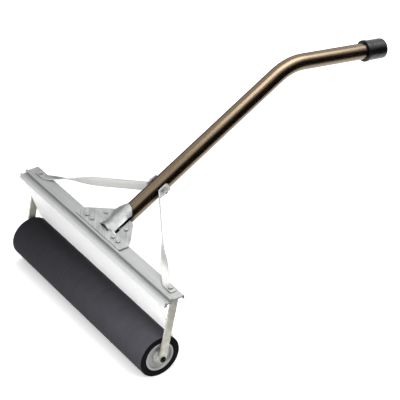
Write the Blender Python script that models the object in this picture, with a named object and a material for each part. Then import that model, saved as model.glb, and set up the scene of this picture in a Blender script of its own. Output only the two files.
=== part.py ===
"""Roller squeegee: a foam roller between two arms, under a rail with a braced, bent handle.

Metres, +Z up. The roller's axis runs along X and the handle points to +Y. The roller stands
on z = 0, and the origin lies under the middle of the tool's bounding box.
"""
import math

import bmesh
import bpy
from mathutils import Matrix, Vector

# Fits
GAP = 0.0003
HOLE_CLEARANCE = 0.0003

# Roller
ROLLER_DIAMETER = 0.110
ROLLER_LENGTH = 0.584
ROLLER_CHAMFER = 0.0015
CORE_DIAMETER = 0.076
CORE_WALL = 0.003
CORE_SETBACK = 0.002
PLUG_DEPTH = 0.030
PLUG_FLANGE = 0.002
PLUG_RIM = 0.005
PLUG_RECESS = 0.007
PLUG_BOSS_DIAMETER = 0.034
PLUG_BOSS_PROUD = 0.0025
BUSHING_DIAMETER = 0.018
BUSHING_FLANGE_DIAMETER = 0.024
BUSHING_FLANGE = 0.0015
AXLE_DIAMETER = 0.012
AXLE_WASHER_DIAMETER = 0.020
AXLE_WASHER = 0.003
AXLE_THREAD_DEPTH = 0.026
AXLE_SCREW_DIAMETER = 0.008
AXLE_SCREW_HEAD_DIAMETER = 0.016
AXLE_SCREW_HEAD = 0.0045
AXLE_SCREW_LENGTH = 0.028
AXLE_SCREW_SOCKET = 0.006

# Rail: one extrusion, its section seen along X
RAIL_RISE = 0.1786
RAIL_REAR = 0.050
RAIL_OVERHANG = 0.017
FLANGE_THICKNESS = 0.0035
LIP_DEPTH = 0.010
LIP_THICKNESS = 0.003
RIDGE_Y = 0.0155
RIDGE_RADIUS = 0.0035
RIDGE_RISE = 0.001
GROOVE_WIDTH = 0.0115
GROOVE_DEPTH = 0.0045
RAIL_WALL = 0.003
NOSE_TOP_Y = -0.002
FACE_LENGTH = 0.0127
FACE_LEAN = math.radians(16.8)
SLOT_FRONT_WALL = 0.0022
SLOT_REAR_WALL = 0.0022
SLOT_DEPTH = 0.0065
BOLT_ROW_INSET = 0.01375

# Guard sheet between the rail and the roller
GUARD_THICKNESS = 0.002
GUARD_HEM_RADIUS = 0.0025
GUARD_ROLLER_CLEARANCE = 0.0045
GUARD_FOOT_ANGLE = math.radians(31.0)
GUARD_END_CLEARANCE = 0.002

# Arms
ARM_WIDTH = 0.020
ARM_THICKNESS = 0.005
ARM_SHOULDER_DROP = 0.0045
ARM_TAB_WIDTH = 0.018
ARM_TAB_LENGTH = 0.040
ARM_BEND_RADIUS = 0.006
ARM_BOLT_INSET = 0.019

# Handle
TUBE_DIAMETER = 0.0413
TUBE_WALL = 0.002
HANDLE_RISE = math.radians(28.0)
HANDLE_DROP = math.radians(10.3)
HANDLE_BEND_RADIUS = 0.124
HANDLE_STRAIGHT = 0.597
HANDLE_END = 0.3065
GRIP_LENGTH = 0.063
GRIP_WALL = 0.0052
GRIP_END_WALL = 0.004
GRIP_COLLAR = 0.008
GRIP_COLLAR_RISE = 0.0014
GRIP_ROUNDING = 0.005

# Handle bracket
BRACKET_THICKNESS = 0.003
BRACKET_HALF_WIDTH = 0.097
BRACKET_TIP_HALF_WIDTH = 0.037
BRACKET_REACH = 0.050
BRACKET_TILT = math.radians(10.5)
BRACKET_CREST = 0.004
BRACKET_SLIT = 0.011
BRACKET_SLIT_RISE = (0.001, 0.010)
BRACKET_SLIT_START = 0.003
SADDLE_WALL = 0.003
SADDLE_CLEARANCE = 0.00035
SADDLE_FRONT = 0.004
SADDLE_BACK = 0.056
SADDLE_END_LEAN = math.radians(20.0)
SADDLE_WEB_SLOPE = math.radians(30.0)
MOUTH_INSET = 0.006
MOUTH_RISE = 0.009
BRACKET_BOLTS_X = (0.046, 0.068)
CLAMP_STATION = 0.018
CLAMP_WIDTH = 0.018
CLAMP_EAR = 0.052
CLAMP_BOLT_X = 0.044

# Braces
BRACE_WIDTH = 0.025
BRACE_FOOT_WIDTH = 0.017
BRACE_THICKNESS = 0.003
BRACE_CHAMFER = 0.0006
BRACE_TOE = 0.014
BRACE_FOOT = 0.018
BRACE_JOINT = 0.154
BRACE_TAB_HALF = 0.016
BRACE_BEND_RADII = (0.022, 0.012)
BRACE_TWIST = (0.030, 0.190)

# Fasteners: thread, wall from thread to flat, head height and nut height
SMALL_BOLT = 0.006
SMALL_HEX_WALL = 0.002
SMALL_HEAD = 0.004
SMALL_NUT = 0.005
CROSS_BOLT = 0.008
CROSS_HEX_WALL = 0.0025
CROSS_HEAD = 0.0053
CROSS_NUT = 0.0065
BOLT_STICK_OUT = 0.0025
CROSS_WASHER = 0.0016
CROSS_WASHER_DIAMETER = 0.016

# Facets
ROLLER_SEGMENTS = 64
TUBE_SEGMENTS = 32
HOLE_SEGMENTS = 20
FASTENER_SEGMENTS = 12

# Places worked out from the sizes above
SMALL_HEX = (SMALL_BOLT, SMALL_BOLT + 2 * SMALL_HEX_WALL, SMALL_HEAD, SMALL_NUT)
CROSS_HEX = (CROSS_BOLT, CROSS_BOLT + 2 * CROSS_HEX_WALL, CROSS_HEAD, CROSS_NUT)
ROLLER_RADIUS = ROLLER_DIAMETER / 2
TUBE_RADIUS = TUBE_DIAMETER / 2
AXLE_Z = ROLLER_RADIUS
RAIL_TOP = AXLE_Z + RAIL_RISE
CORE_END = ROLLER_LENGTH / 2 - CORE_SETBACK
PLUG_OUT = CORE_END + GAP + PLUG_FLANGE
BOSS_OUT = ROLLER_LENGTH / 2 + PLUG_BOSS_PROUD
BUSHING_OUT = BOSS_OUT + GAP + BUSHING_FLANGE
WASHER_OUT = BUSHING_OUT + GAP + AXLE_WASHER
ARM_IN = WASHER_OUT + GAP
ARM_OUT = ARM_IN + ARM_THICKNESS
RAIL_HALF = ARM_OUT + RAIL_OVERHANG
RIDGE_REAR = RIDGE_Y + RIDGE_RADIUS
BOLT_ROW_Y = RAIL_REAR - BOLT_ROW_INSET
ARM_BOLT_X = ARM_OUT - ARM_BOLT_INSET
SADDLE_RADIUS = TUBE_RADIUS + SADDLE_CLEARANCE + SADDLE_WALL
RISE_DIRECTION = Vector((0, math.cos(HANDLE_RISE), math.sin(HANDLE_RISE)))
RISE_NORMAL = Vector((0, -math.sin(HANDLE_RISE), math.cos(HANDLE_RISE)))
DROP_DIRECTION = Vector((0, math.cos(HANDLE_DROP), -math.sin(HANDLE_DROP)))
TUBE_START_Y = RAIL_REAR + TUBE_RADIUS * math.sin(HANDLE_RISE) + 0.0043
TUBE_Z_AT_REAR = RAIL_TOP + GAP + BRACKET_THICKNESS + BRACKET_CREST - SADDLE_RADIUS / math.cos(HANDLE_RISE)
TUBE_START = Vector((0, TUBE_START_Y, TUBE_Z_AT_REAR + math.tan(HANDLE_RISE) * (TUBE_START_Y - RAIL_REAR)))
TUBE_CORNER = TUBE_START + RISE_DIRECTION * HANDLE_STRAIGHT
HANDLE_TIP = TUBE_CORNER + DROP_DIRECTION * HANDLE_END
MOUTH_MEETING_Y = RAIL_REAR + (MOUTH_RISE - BRACKET_CREST) / math.tan(HANDLE_RISE)
JOINT_POINT = TUBE_START + RISE_DIRECTION * BRACE_JOINT
GRIP_RADIUS = TUBE_RADIUS + GAP + GRIP_WALL
Y_FRONT = -ROLLER_RADIUS
GRIP_EDGE = (GRIP_RADIUS - GRIP_ROUNDING) * math.sin(HANDLE_DROP) - GRIP_ROUNDING * math.cos(HANDLE_DROP)
Y_BACK = HANDLE_TIP.y + GRIP_EDGE + GRIP_ROUNDING
Y_SHIFT = -(Y_FRONT + Y_BACK) / 2


def srgb(code):
    """Linear RGBA from an sRGB hex code."""
    channels = [int(code[i:i + 2], 16) / 255 for i in (0, 2, 4)]
    return [c / 12.92 if c <= 0.04045 else ((c + 0.055) / 1.055) ** 2.4 for c in channels] + [1.0]


def finish(name, code, roughness, metallic):
    material = bpy.data.materials.new(name)
    material.use_nodes = True
    shader = material.node_tree.nodes["Principled BSDF"]
    shader.inputs["Base Color"].default_value = srgb(code)
    shader.inputs["Roughness"].default_value = roughness
    shader.inputs["Metallic"].default_value = metallic
    return material


def clear_scene():
    for obj in list(bpy.data.objects):
        bpy.data.objects.remove(obj, do_unlink=True)


def empty(name, location, parent=None):
    obj = bpy.data.objects.new(name, None)
    obj.location = location
    obj.parent = parent
    bpy.context.scene.collection.objects.link(obj)
    return obj


def solid(name, shape, material, parent, location=(0, 0, 0), rotation=(0, 0, 0), smooth_angle=None):
    """Turns a bmesh into a named, placed object."""
    bmesh.ops.remove_doubles(shape, verts=shape.verts, dist=1e-7)
    bmesh.ops.recalc_face_normals(shape, faces=shape.faces)
    mesh = bpy.data.meshes.new(name)
    shape.to_mesh(mesh)
    shape.free()
    if smooth_angle:
        mesh.shade_smooth()
        mesh.set_sharp_from_angle(angle=smooth_angle)
    obj = bpy.data.objects.new(name, mesh)
    if material:
        mesh.materials.append(material)
    obj.location = location
    obj.rotation_euler = rotation
    obj.parent = parent
    bpy.context.scene.collection.objects.link(obj)
    return obj


def boolean(target, operation, shape, location=(0, 0, 0), rotation=(0, 0, 0)):
    """Joins a helper shape to a piece or cuts it out. The helper itself never shows."""
    helper = solid(f"{target.name}.helper", shape, None, target.parent, location, rotation)
    helper.hide_render = True
    helper.display_type = "WIRE"
    modifier = target.modifiers.new(operation.title(), "BOOLEAN")
    modifier.operation = operation
    modifier.object = helper
    return modifier


def prism(outline, axis, low, high):
    """Extrudes a closed outline along X, Y or Z. The outline holds the two other coordinates."""
    shape = bmesh.new()
    place = {"X": lambda a, b, c: (c, a, b), "Y": lambda a, b, c: (a, c, b), "Z": lambda a, b, c: (a, b, c)}[axis]
    corners = [shape.verts.new(place(a, b, low)) for a, b in outline]
    face = shape.faces.new(corners)
    grown = bmesh.ops.extrude_face_region(shape, geom=[face])
    moved = [item for item in grown["geom"] if isinstance(item, bmesh.types.BMVert)]
    bmesh.ops.translate(shape, verts=moved, vec=place(0, 0, high - low))
    return shape


def block(low, high):
    """A box between two corners."""
    outline = [(low[0], low[1]), (high[0], low[1]), (high[0], high[1]), (low[0], high[1])]
    return prism(outline, "Z", low[2], high[2])


def lathe(profile, segments, closed=True):
    """Spins a profile of (x, radius) points about the X axis."""
    shape = bmesh.new()
    points = [shape.verts.new((x, 0, radius)) for x, radius in profile]
    edges = [shape.edges.new(pair) for pair in zip(points, points[1:])]
    if closed:
        edges.append(shape.edges.new((points[-1], points[0])))
    bmesh.ops.spin(shape, geom=points + edges, cent=(0, 0, 0), axis=(1, 0, 0),
                   angle=2 * math.pi, steps=segments, use_merge=True)
    bmesh.ops.remove_doubles(shape, verts=shape.verts, dist=1e-7)
    return shape


def rod(radius, start, end, segments, offset=0.0):
    """A solid cylinder between two points. The offset turns its facets about its axis."""
    start, end = Vector(start), Vector(end)
    shape = bmesh.new()
    turn = Vector((0, 0, 1)).rotation_difference(end - start).to_matrix().to_4x4()
    matrix = Matrix.Translation((start + end) / 2) @ turn @ Matrix.Rotation(offset, 4, "Z")
    bmesh.ops.create_cone(shape, cap_ends=True, segments=segments, radius1=radius, radius2=radius,
                          depth=(end - start).length, matrix=matrix)
    return shape


def stack(rings, looped=False):
    """Skins a list of rings with equal counts. A looped stack closes on itself, with no caps."""
    shape = bmesh.new()
    loops = [[shape.verts.new(point) for point in ring] for ring in rings]
    pairs = list(zip(loops, loops[1:]))
    if looped:
        pairs.append((loops[-1], loops[0]))
    for lower, upper in pairs:
        for i in range(len(lower)):
            j = (i + 1) % len(lower)
            shape.faces.new((lower[i], lower[j], upper[j], upper[i]))
    if not looped:
        shape.faces.new(loops[0])
        shape.faces.new(loops[-1])
    return shape


def circle_ring(radius, z, count=FASTENER_SEGMENTS):
    return [(radius * math.cos(2 * math.pi * i / count), radius * math.sin(2 * math.pi * i / count), z)
            for i in range(count)]


def hex_ring(across_flats, z, count=FASTENER_SEGMENTS):
    ring = []
    for i in range(count):
        angle = 2 * math.pi * i / count
        off_flat = (angle + math.pi / 6) % (math.pi / 3) - math.pi / 6
        radius = across_flats / 2 / math.cos(off_flat)
        ring.append((radius * math.cos(angle), radius * math.sin(angle), z))
    return ring


def arc(center, radius, start, end, steps):
    """Points of an arc in degrees, both ends included."""
    angles = [math.radians(start + (end - start) * i / steps) for i in range(steps + 1)]
    return [(center[0] + radius * math.cos(a), center[1] + radius * math.sin(a)) for a in angles]


def strip_outline(path, thickness):
    """Closed outline of a sheet of even thickness that follows a path, mitred at its folds."""
    normals = []
    for a, b in zip(path, path[1:]):
        step = (Vector(b) - Vector(a)).normalized()
        normals.append(Vector((-step.y, step.x)))
    sides = ([], [])
    for i, point in enumerate(path):
        before, after = normals[max(i - 1, 0)], normals[min(i, len(normals) - 1)]
        middle = (before + after).normalized()
        reach = thickness / 2 / middle.dot(before)
        sides[0].append(tuple(Vector(point) + middle * reach))
        sides[1].append(tuple(Vector(point) - middle * reach))
    return sides[0] + sides[1][::-1]


def rounded_path(points, radii, steps):
    """Stations of a path with an arc of the given radius at each inner corner: (point, tangent) pairs."""
    points = [Vector(p) for p in points]
    path = [(points[0], (points[1] - points[0]).normalized())]
    for before, corner, after, radius in zip(points, points[1:], points[2:], radii):
        into = (corner - before).normalized()
        out = (after - corner).normalized()
        turn = into.angle(out)
        start = corner - into * radius * math.tan(turn / 2)
        inward = (out - into * into.dot(out)).normalized()
        center = start + inward * radius
        for i in range(steps + 1):
            angle = turn * i / steps
            point = center + (into * math.sin(angle) - inward * math.cos(angle)) * radius
            path.append((point, into * math.cos(angle) + inward * math.sin(angle)))
    path.append((points[-1], (points[-1] - points[-2]).normalized()))
    return path


def hex_bolt(name, size, grip, material, parent, location, rotation):
    """A bolt whose head sits on z = 0 of its own frame, with its shank below."""
    diameter, flats, head, nut = size
    length = grip + nut + 2 * GAP + BOLT_STICK_OUT
    rings = [circle_ring(diameter * 0.38, -length), circle_ring(diameter / 2, -length + diameter * 0.12),
             circle_ring(diameter / 2, 0), hex_ring(flats, 0), hex_ring(flats, head * 0.8),
             circle_ring(flats * 0.46, head)]
    return solid(name, stack(rings), material, parent, location, rotation)


def hex_nut(name, size, material, parent, location, rotation):
    """A nut whose upper face lies on z = 0 of its own frame."""
    diameter, flats, _, height = size
    hole = diameter / 2 + HOLE_CLEARANCE
    rings = [circle_ring(flats * 0.46, 0), hex_ring(flats, -height * 0.14), hex_ring(flats, -height * 0.86),
             circle_ring(flats * 0.46, -height), circle_ring(hole, -height), circle_ring(hole, 0)]
    return solid(name, stack(rings, looped=True), material, parent, location, rotation)


def bolt_hole(diameter, start, end):
    return rod(diameter / 2 + HOLE_CLEARANCE, start, end, HOLE_SEGMENTS, math.pi / HOLE_SEGMENTS)


def make_roller(parent, foam, metal, plastic, bearing):
    """Foam sleeve, core tube, end plugs and bushings. They turn together about X."""
    half = ROLLER_LENGTH / 2
    core = CORE_DIAMETER / 2
    bore = core + GAP
    edge = ROLLER_RADIUS - ROLLER_CHAMFER
    sleeve = [(-half, bore), (-half, edge), (ROLLER_CHAMFER - half, ROLLER_RADIUS),
              (half - ROLLER_CHAMFER, ROLLER_RADIUS), (half, edge), (half, bore)]
    solid("foam_sleeve", lathe(sleeve, ROLLER_SEGMENTS), foam, parent, smooth_angle=0.6)
    inner = core - CORE_WALL
    tube = [(-CORE_END, inner), (-CORE_END, core), (CORE_END, core), (CORE_END, inner)]
    solid("core_tube", lathe(tube, 48), metal, parent, smooth_angle=0.6)
    for side, word in ((-1, "left"), (1, "right")):
        plug_outline = [
            (CORE_END - PLUG_DEPTH, BUSHING_DIAMETER / 2 + GAP), (CORE_END - PLUG_DEPTH, inner - GAP - 0.001),
            (CORE_END - PLUG_DEPTH + 0.001, inner - GAP), (CORE_END + GAP, inner - GAP), (CORE_END + GAP, core),
            (PLUG_OUT - 0.0006, core), (PLUG_OUT, core - 0.0006), (PLUG_OUT, core - PLUG_RIM),
            (PLUG_OUT - PLUG_RECESS, core - PLUG_RIM - 0.001), (PLUG_OUT - PLUG_RECESS, PLUG_BOSS_DIAMETER / 2),
            (BOSS_OUT - 0.001, PLUG_BOSS_DIAMETER / 2 - 0.0007), (BOSS_OUT, PLUG_BOSS_DIAMETER / 2 - 0.0017),
            (BOSS_OUT, BUSHING_DIAMETER / 2 + GAP)]
        mirrored = [(side * x, r) for x, r in plug_outline]
        solid(f"end_plug_{word}", lathe(mirrored, 40), plastic, parent, smooth_angle=0.6)
        running = AXLE_DIAMETER / 2 + GAP
        sleeve_in = CORE_END - PLUG_DEPTH
        bushing = [(sleeve_in, running), (sleeve_in, BUSHING_DIAMETER / 2), (BOSS_OUT + GAP, BUSHING_DIAMETER / 2),
                   (BOSS_OUT + GAP, BUSHING_FLANGE_DIAMETER / 2), (BUSHING_OUT, BUSHING_FLANGE_DIAMETER / 2),
                   (BUSHING_OUT, running)]
        solid(f"bushing_{word}", lathe([(side * x, r) for x, r in bushing], 28), bearing, parent, smooth_angle=0.6)


def make_axle(parent, steel, black, plastic):
    """Fixed axle, held between the arms by a screw at each end, with a washer inside each arm."""
    thread = AXLE_SCREW_DIAMETER / 2 + HOLE_CLEARANCE
    radius = AXLE_DIAMETER / 2
    bottom = WASHER_OUT - AXLE_THREAD_DEPTH
    right_half = [(bottom, 0), (bottom, thread), (WASHER_OUT, thread), (WASHER_OUT, radius - 0.0005),
                  (WASHER_OUT - 0.0005, radius)]
    profile = [(-x, r) for x, r in right_half] + right_half[::-1]
    solid("axle", lathe(profile, 24, closed=False), steel, parent, (0, 0, AXLE_Z), smooth_angle=0.6)
    for side, word in ((-1, "left"), (1, "right")):
        washer = [(BUSHING_OUT + GAP, radius + GAP), (BUSHING_OUT + GAP, AXLE_WASHER_DIAMETER / 2),
                  (WASHER_OUT, AXLE_WASHER_DIAMETER / 2), (WASHER_OUT, radius + GAP)]
        solid(f"axle_washer_{word}", lathe([(side * x, r) for x, r in washer], 24), plastic, parent,
              (0, 0, AXLE_Z), smooth_angle=0.6)
        count = 24
        head = AXLE_SCREW_HEAD_DIAMETER / 2
        dome = [circle_ring(head * math.cos(a), 0.001 + (AXLE_SCREW_HEAD - 0.001) * math.sin(a), count)
                for a in (0.0, 0.45, 0.85)]
        top = dome[-1][0][2]
        rings = [circle_ring(AXLE_SCREW_DIAMETER * 0.4, -AXLE_SCREW_LENGTH, count),
                 circle_ring(AXLE_SCREW_DIAMETER / 2, 0.001 - AXLE_SCREW_LENGTH, count),
                 circle_ring(AXLE_SCREW_DIAMETER / 2, 0, count), circle_ring(head, 0, count)] + dome
        rings += [hex_ring(AXLE_SCREW_SOCKET, top, count), hex_ring(AXLE_SCREW_SOCKET, 0.0012, count)]
        solid(f"axle_screw_{word}", stack(rings), black, parent, (side * (ARM_OUT + GAP), 0, AXLE_Z),
              (0, side * math.pi / 2, 0), smooth_angle=0.5)


def face_point(offset, down):
    """A point of the rail's sloping front face: so far behind it, and so far down along it."""
    lean = Vector((-math.sin(FACE_LEAN), -math.cos(FACE_LEAN)))
    behind = Vector((math.cos(FACE_LEAN), -math.sin(FACE_LEAN)))
    return Vector((NOSE_TOP_Y, RAIL_TOP - 0.0008)) + behind * offset + lean * down


def rail_outline():
    """Section of the extrusion: rear lip, flange, ridge, groove, sloping face, and the guard's slot."""
    slot = GUARD_THICKNESS + 2 * GAP
    rear_face = SLOT_FRONT_WALL + slot + SLOT_REAR_WALL
    groove_rear = RIDGE_Y - RIDGE_RADIUS
    groove_front = groove_rear - GROOVE_WIDTH
    underside = RAIL_TOP - GROOVE_DEPTH - RAIL_WALL
    reach = (face_point(rear_face, 0).y - underside) / math.cos(FACE_LEAN)
    points = [(RAIL_REAR, RAIL_TOP - LIP_DEPTH)]
    points += arc((RAIL_REAR - 0.002, RAIL_TOP - 0.002), 0.002, 0, 90, 4)
    points += [(RIDGE_REAR, RAIL_TOP)]
    points += arc((RIDGE_Y, RAIL_TOP + RIDGE_RISE), RIDGE_RADIUS, 0, 180, 8)
    points += [(groove_rear, RAIL_TOP - GROOVE_DEPTH), (groove_front, RAIL_TOP - GROOVE_DEPTH),
               (groove_front, RAIL_TOP - 0.0005), (groove_front - 0.001, RAIL_TOP), (NOSE_TOP_Y + 0.001, RAIL_TOP)]
    points += [tuple(face_point(0, 0)), tuple(face_point(0, FACE_LENGTH - 0.0008)),
               tuple(face_point(0.0008, FACE_LENGTH)), tuple(face_point(SLOT_FRONT_WALL, FACE_LENGTH)),
               tuple(face_point(SLOT_FRONT_WALL, FACE_LENGTH - SLOT_DEPTH)),
               tuple(face_point(SLOT_FRONT_WALL + slot, FACE_LENGTH - SLOT_DEPTH)),
               tuple(face_point(SLOT_FRONT_WALL + slot, FACE_LENGTH)), tuple(face_point(rear_face, FACE_LENGTH)),
               tuple(face_point(rear_face, reach))]
    points += [(RIDGE_Y, underside), (RIDGE_REAR, RAIL_TOP - FLANGE_THICKNESS),
               (RAIL_REAR - LIP_THICKNESS - 0.001, RAIL_TOP - FLANGE_THICKNESS),
               (RAIL_REAR - LIP_THICKNESS, RAIL_TOP - FLANGE_THICKNESS - 0.001),
               (RAIL_REAR - LIP_THICKNESS, RAIL_TOP - LIP_DEPTH)]
    return points


def rail_bolt_places():
    """Where bolts pass through the flange: x and y of the arm and bracket bolts."""
    places = []
    for side in (-1, 1):
        places.append((side * ARM_BOLT_X, BOLT_ROW_Y))
        places += [(side * x, BOLT_ROW_Y) for x in BRACKET_BOLTS_X]
    return places


def make_rail(parent, aluminium):
    rail = solid("rail_extrusion", prism(rail_outline(), "X", -RAIL_HALF, RAIL_HALF), aluminium, parent)
    for x, y in rail_bolt_places():
        boolean(rail, "DIFFERENCE", bolt_hole(SMALL_BOLT, (x, y, RAIL_TOP - 0.02), (x, y, RAIL_TOP + 0.01)))


def make_guard(parent, aluminium):
    """Bright sheet whose folded top edge slides into the rail's slot, with a rolled lower hem."""
    middle = SLOT_FRONT_WALL + GAP + GUARD_THICKNESS / 2
    top = face_point(middle, FACE_LENGTH - SLOT_DEPTH + 2 * GAP)
    fold = face_point(middle, FACE_LENGTH + 0.0015)
    foot_radius = ROLLER_RADIUS + GUARD_ROLLER_CLEARANCE + GUARD_HEM_RADIUS
    foot = Vector((foot_radius * math.sin(GUARD_FOOT_ANGLE), AXLE_Z + foot_radius * math.cos(GUARD_FOOT_ANGLE)))
    half_angle = math.degrees(math.asin(GUARD_THICKNESS / 2 / GUARD_HEM_RADIUS))
    upward = (fold - foot).normalized()
    facing = math.degrees(math.atan2(upward.y, upward.x))
    sheet = strip_outline([tuple(top), tuple(fold), tuple(foot)], GUARD_THICKNESS)
    hem = arc(foot, GUARD_HEM_RADIUS, facing + half_angle, facing + 360 - half_angle, 12)
    if (Vector(hem[0]) - Vector(sheet[1])).length > (Vector(hem[-1]) - Vector(sheet[1])).length:
        hem.reverse()
    outline = sheet[:2] + hem + sheet[4:]
    half = ARM_IN - GUARD_END_CLEARANCE
    solid("guard_sheet", prism(outline, "X", -half, half), aluminium, parent)


def make_arms(parent, aluminium):
    """Flat bars from the axle up to the rail, each with a necked tab bent under the flange."""
    axle = Vector((0, AXLE_Z))
    tab_top = RAIL_TOP - FLANGE_THICKNESS - GAP
    shoulder = RAIL_TOP - LIP_DEPTH - ARM_SHOULDER_DROP
    lean = math.atan2(BOLT_ROW_Y, shoulder - AXLE_Z)
    along = Vector((math.sin(lean), math.cos(lean)))
    across = Vector((math.cos(lean), -math.sin(lean)))
    half = ARM_WIDTH / 2
    tops = []
    for edge in (1, -1):
        start = axle + across * half * edge
        tops.append(tuple(start + along * ((shoulder - start.y) / along.y)))
    lower_end = arc(axle, half, math.degrees(-lean), math.degrees(-lean) - 180, 14)
    bar = [tops[0]] + lower_end + [tops[1]]
    bend = ARM_BEND_RADIUS
    neck = [(ARM_IN, shoulder - 0.008), (ARM_OUT, shoulder - 0.008)]
    neck += arc((ARM_OUT - bend, tab_top - bend), bend, 0, 90, 5)
    neck += [(ARM_OUT - ARM_TAB_LENGTH, tab_top), (ARM_OUT - ARM_TAB_LENGTH, tab_top - ARM_THICKNESS),
             (ARM_IN - 0.001, tab_top - ARM_THICKNESS), (ARM_IN, tab_top - ARM_THICKNESS - 0.001)]
    for side, word in ((-1, "left"), (1, "right")):
        low, high = sorted((side * ARM_IN, side * ARM_OUT))
        arm = solid(f"arm_{word}", prism(bar, "X", low, high), aluminium, parent)
        half_tab = ARM_TAB_WIDTH / 2
        mirrored = [(side * x, z) for x, z in neck]
        boolean(arm, "UNION", prism(mirrored, "Y", BOLT_ROW_Y - half_tab, BOLT_ROW_Y + half_tab))
        boolean(arm, "DIFFERENCE", bolt_hole(AXLE_SCREW_DIAMETER, (low - 0.01, 0, AXLE_Z), (high + 0.01, 0, AXLE_Z)))
        x = side * ARM_BOLT_X
        boolean(arm, "DIFFERENCE", bolt_hole(SMALL_BOLT, (x, BOLT_ROW_Y, tab_top - 0.02), (x, BOLT_ROW_Y, tab_top + 0.01)))


def tube_shell(path, outer, inner):
    """A hollow tube along a path in the plane x = 0, open at both ends."""
    rings = []
    for radius, order in ((outer, 1), (inner, -1)):
        for point, tangent in path[::order]:
            lift = Vector((1, 0, 0)).cross(tangent)
            rings.append([point + (Vector((1, 0, 0)) * math.cos(a) + lift * math.sin(a)) * radius
                          for a in (2 * math.pi * i / TUBE_SEGMENTS for i in range(TUBE_SEGMENTS))])
    return stack(rings, looped=True)


def make_handle(parent, anodised, vinyl):
    tube_end = HANDLE_TIP - DROP_DIRECTION * (GRIP_END_WALL + GAP)
    path = rounded_path([TUBE_START, TUBE_CORNER, tube_end], [HANDLE_BEND_RADIUS], 12)
    tube = solid("handle_tube", tube_shell(path, TUBE_RADIUS, TUBE_RADIUS - TUBE_WALL), anodised, parent,
                 smooth_angle=0.6)
    reach = Vector((TUBE_DIAMETER, 0, 0))
    boolean(tube, "DIFFERENCE", bolt_hole(CROSS_BOLT, JOINT_POINT - reach, JOINT_POINT + reach))
    bore = TUBE_RADIUS + GAP
    body = GRIP_RADIUS
    collar = body + GRIP_COLLAR_RISE
    end = GRIP_LENGTH
    profile = [(end - GRIP_END_WALL, 0), (end - GRIP_END_WALL, bore), (0, bore), (0, collar - 0.001), (0.001, collar),
               (GRIP_COLLAR - 0.001, collar), (GRIP_COLLAR, collar - 0.001), (GRIP_COLLAR + 0.0006, body)]
    profile += [(x, r) for r, x in arc((body - GRIP_ROUNDING, end - GRIP_ROUNDING), GRIP_ROUNDING, 0, 90, 5)]
    profile.append((end, 0))
    mouth = HANDLE_TIP - DROP_DIRECTION * GRIP_LENGTH
    turn = Vector((1, 0, 0)).rotation_difference(DROP_DIRECTION).to_euler()
    solid("grip_cap", lathe(profile, TUBE_SEGMENTS, closed=False), vinyl, parent, mouth, turn, smooth_angle=0.6)


def bracket_plane(y, above=0.0):
    """Height of the bracket plate's lower face at y, raised by a distance above it."""
    return RAIL_TOP + GAP + above + max(0.0, y - RAIL_REAR) * math.tan(BRACKET_TILT)


def saddle_sleeve(radius, start, end):
    """Round over the tube, then straight down to the left wing as a tangent web, along the tube."""
    slope = math.degrees(SADDLE_WEB_SLOPE)
    outline = arc((0, 0), radius, -90, 90 + slope, 22)
    down = Vector((-math.cos(SADDLE_WEB_SLOPE), -math.sin(SADDLE_WEB_SLOPE)))
    foot = Vector(outline[-1]) + down * 3 * radius
    outline += [tuple(foot), (foot.x, -2 * radius), (0, -2 * radius)]
    return prism(outline, "Y", start, end)


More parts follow.
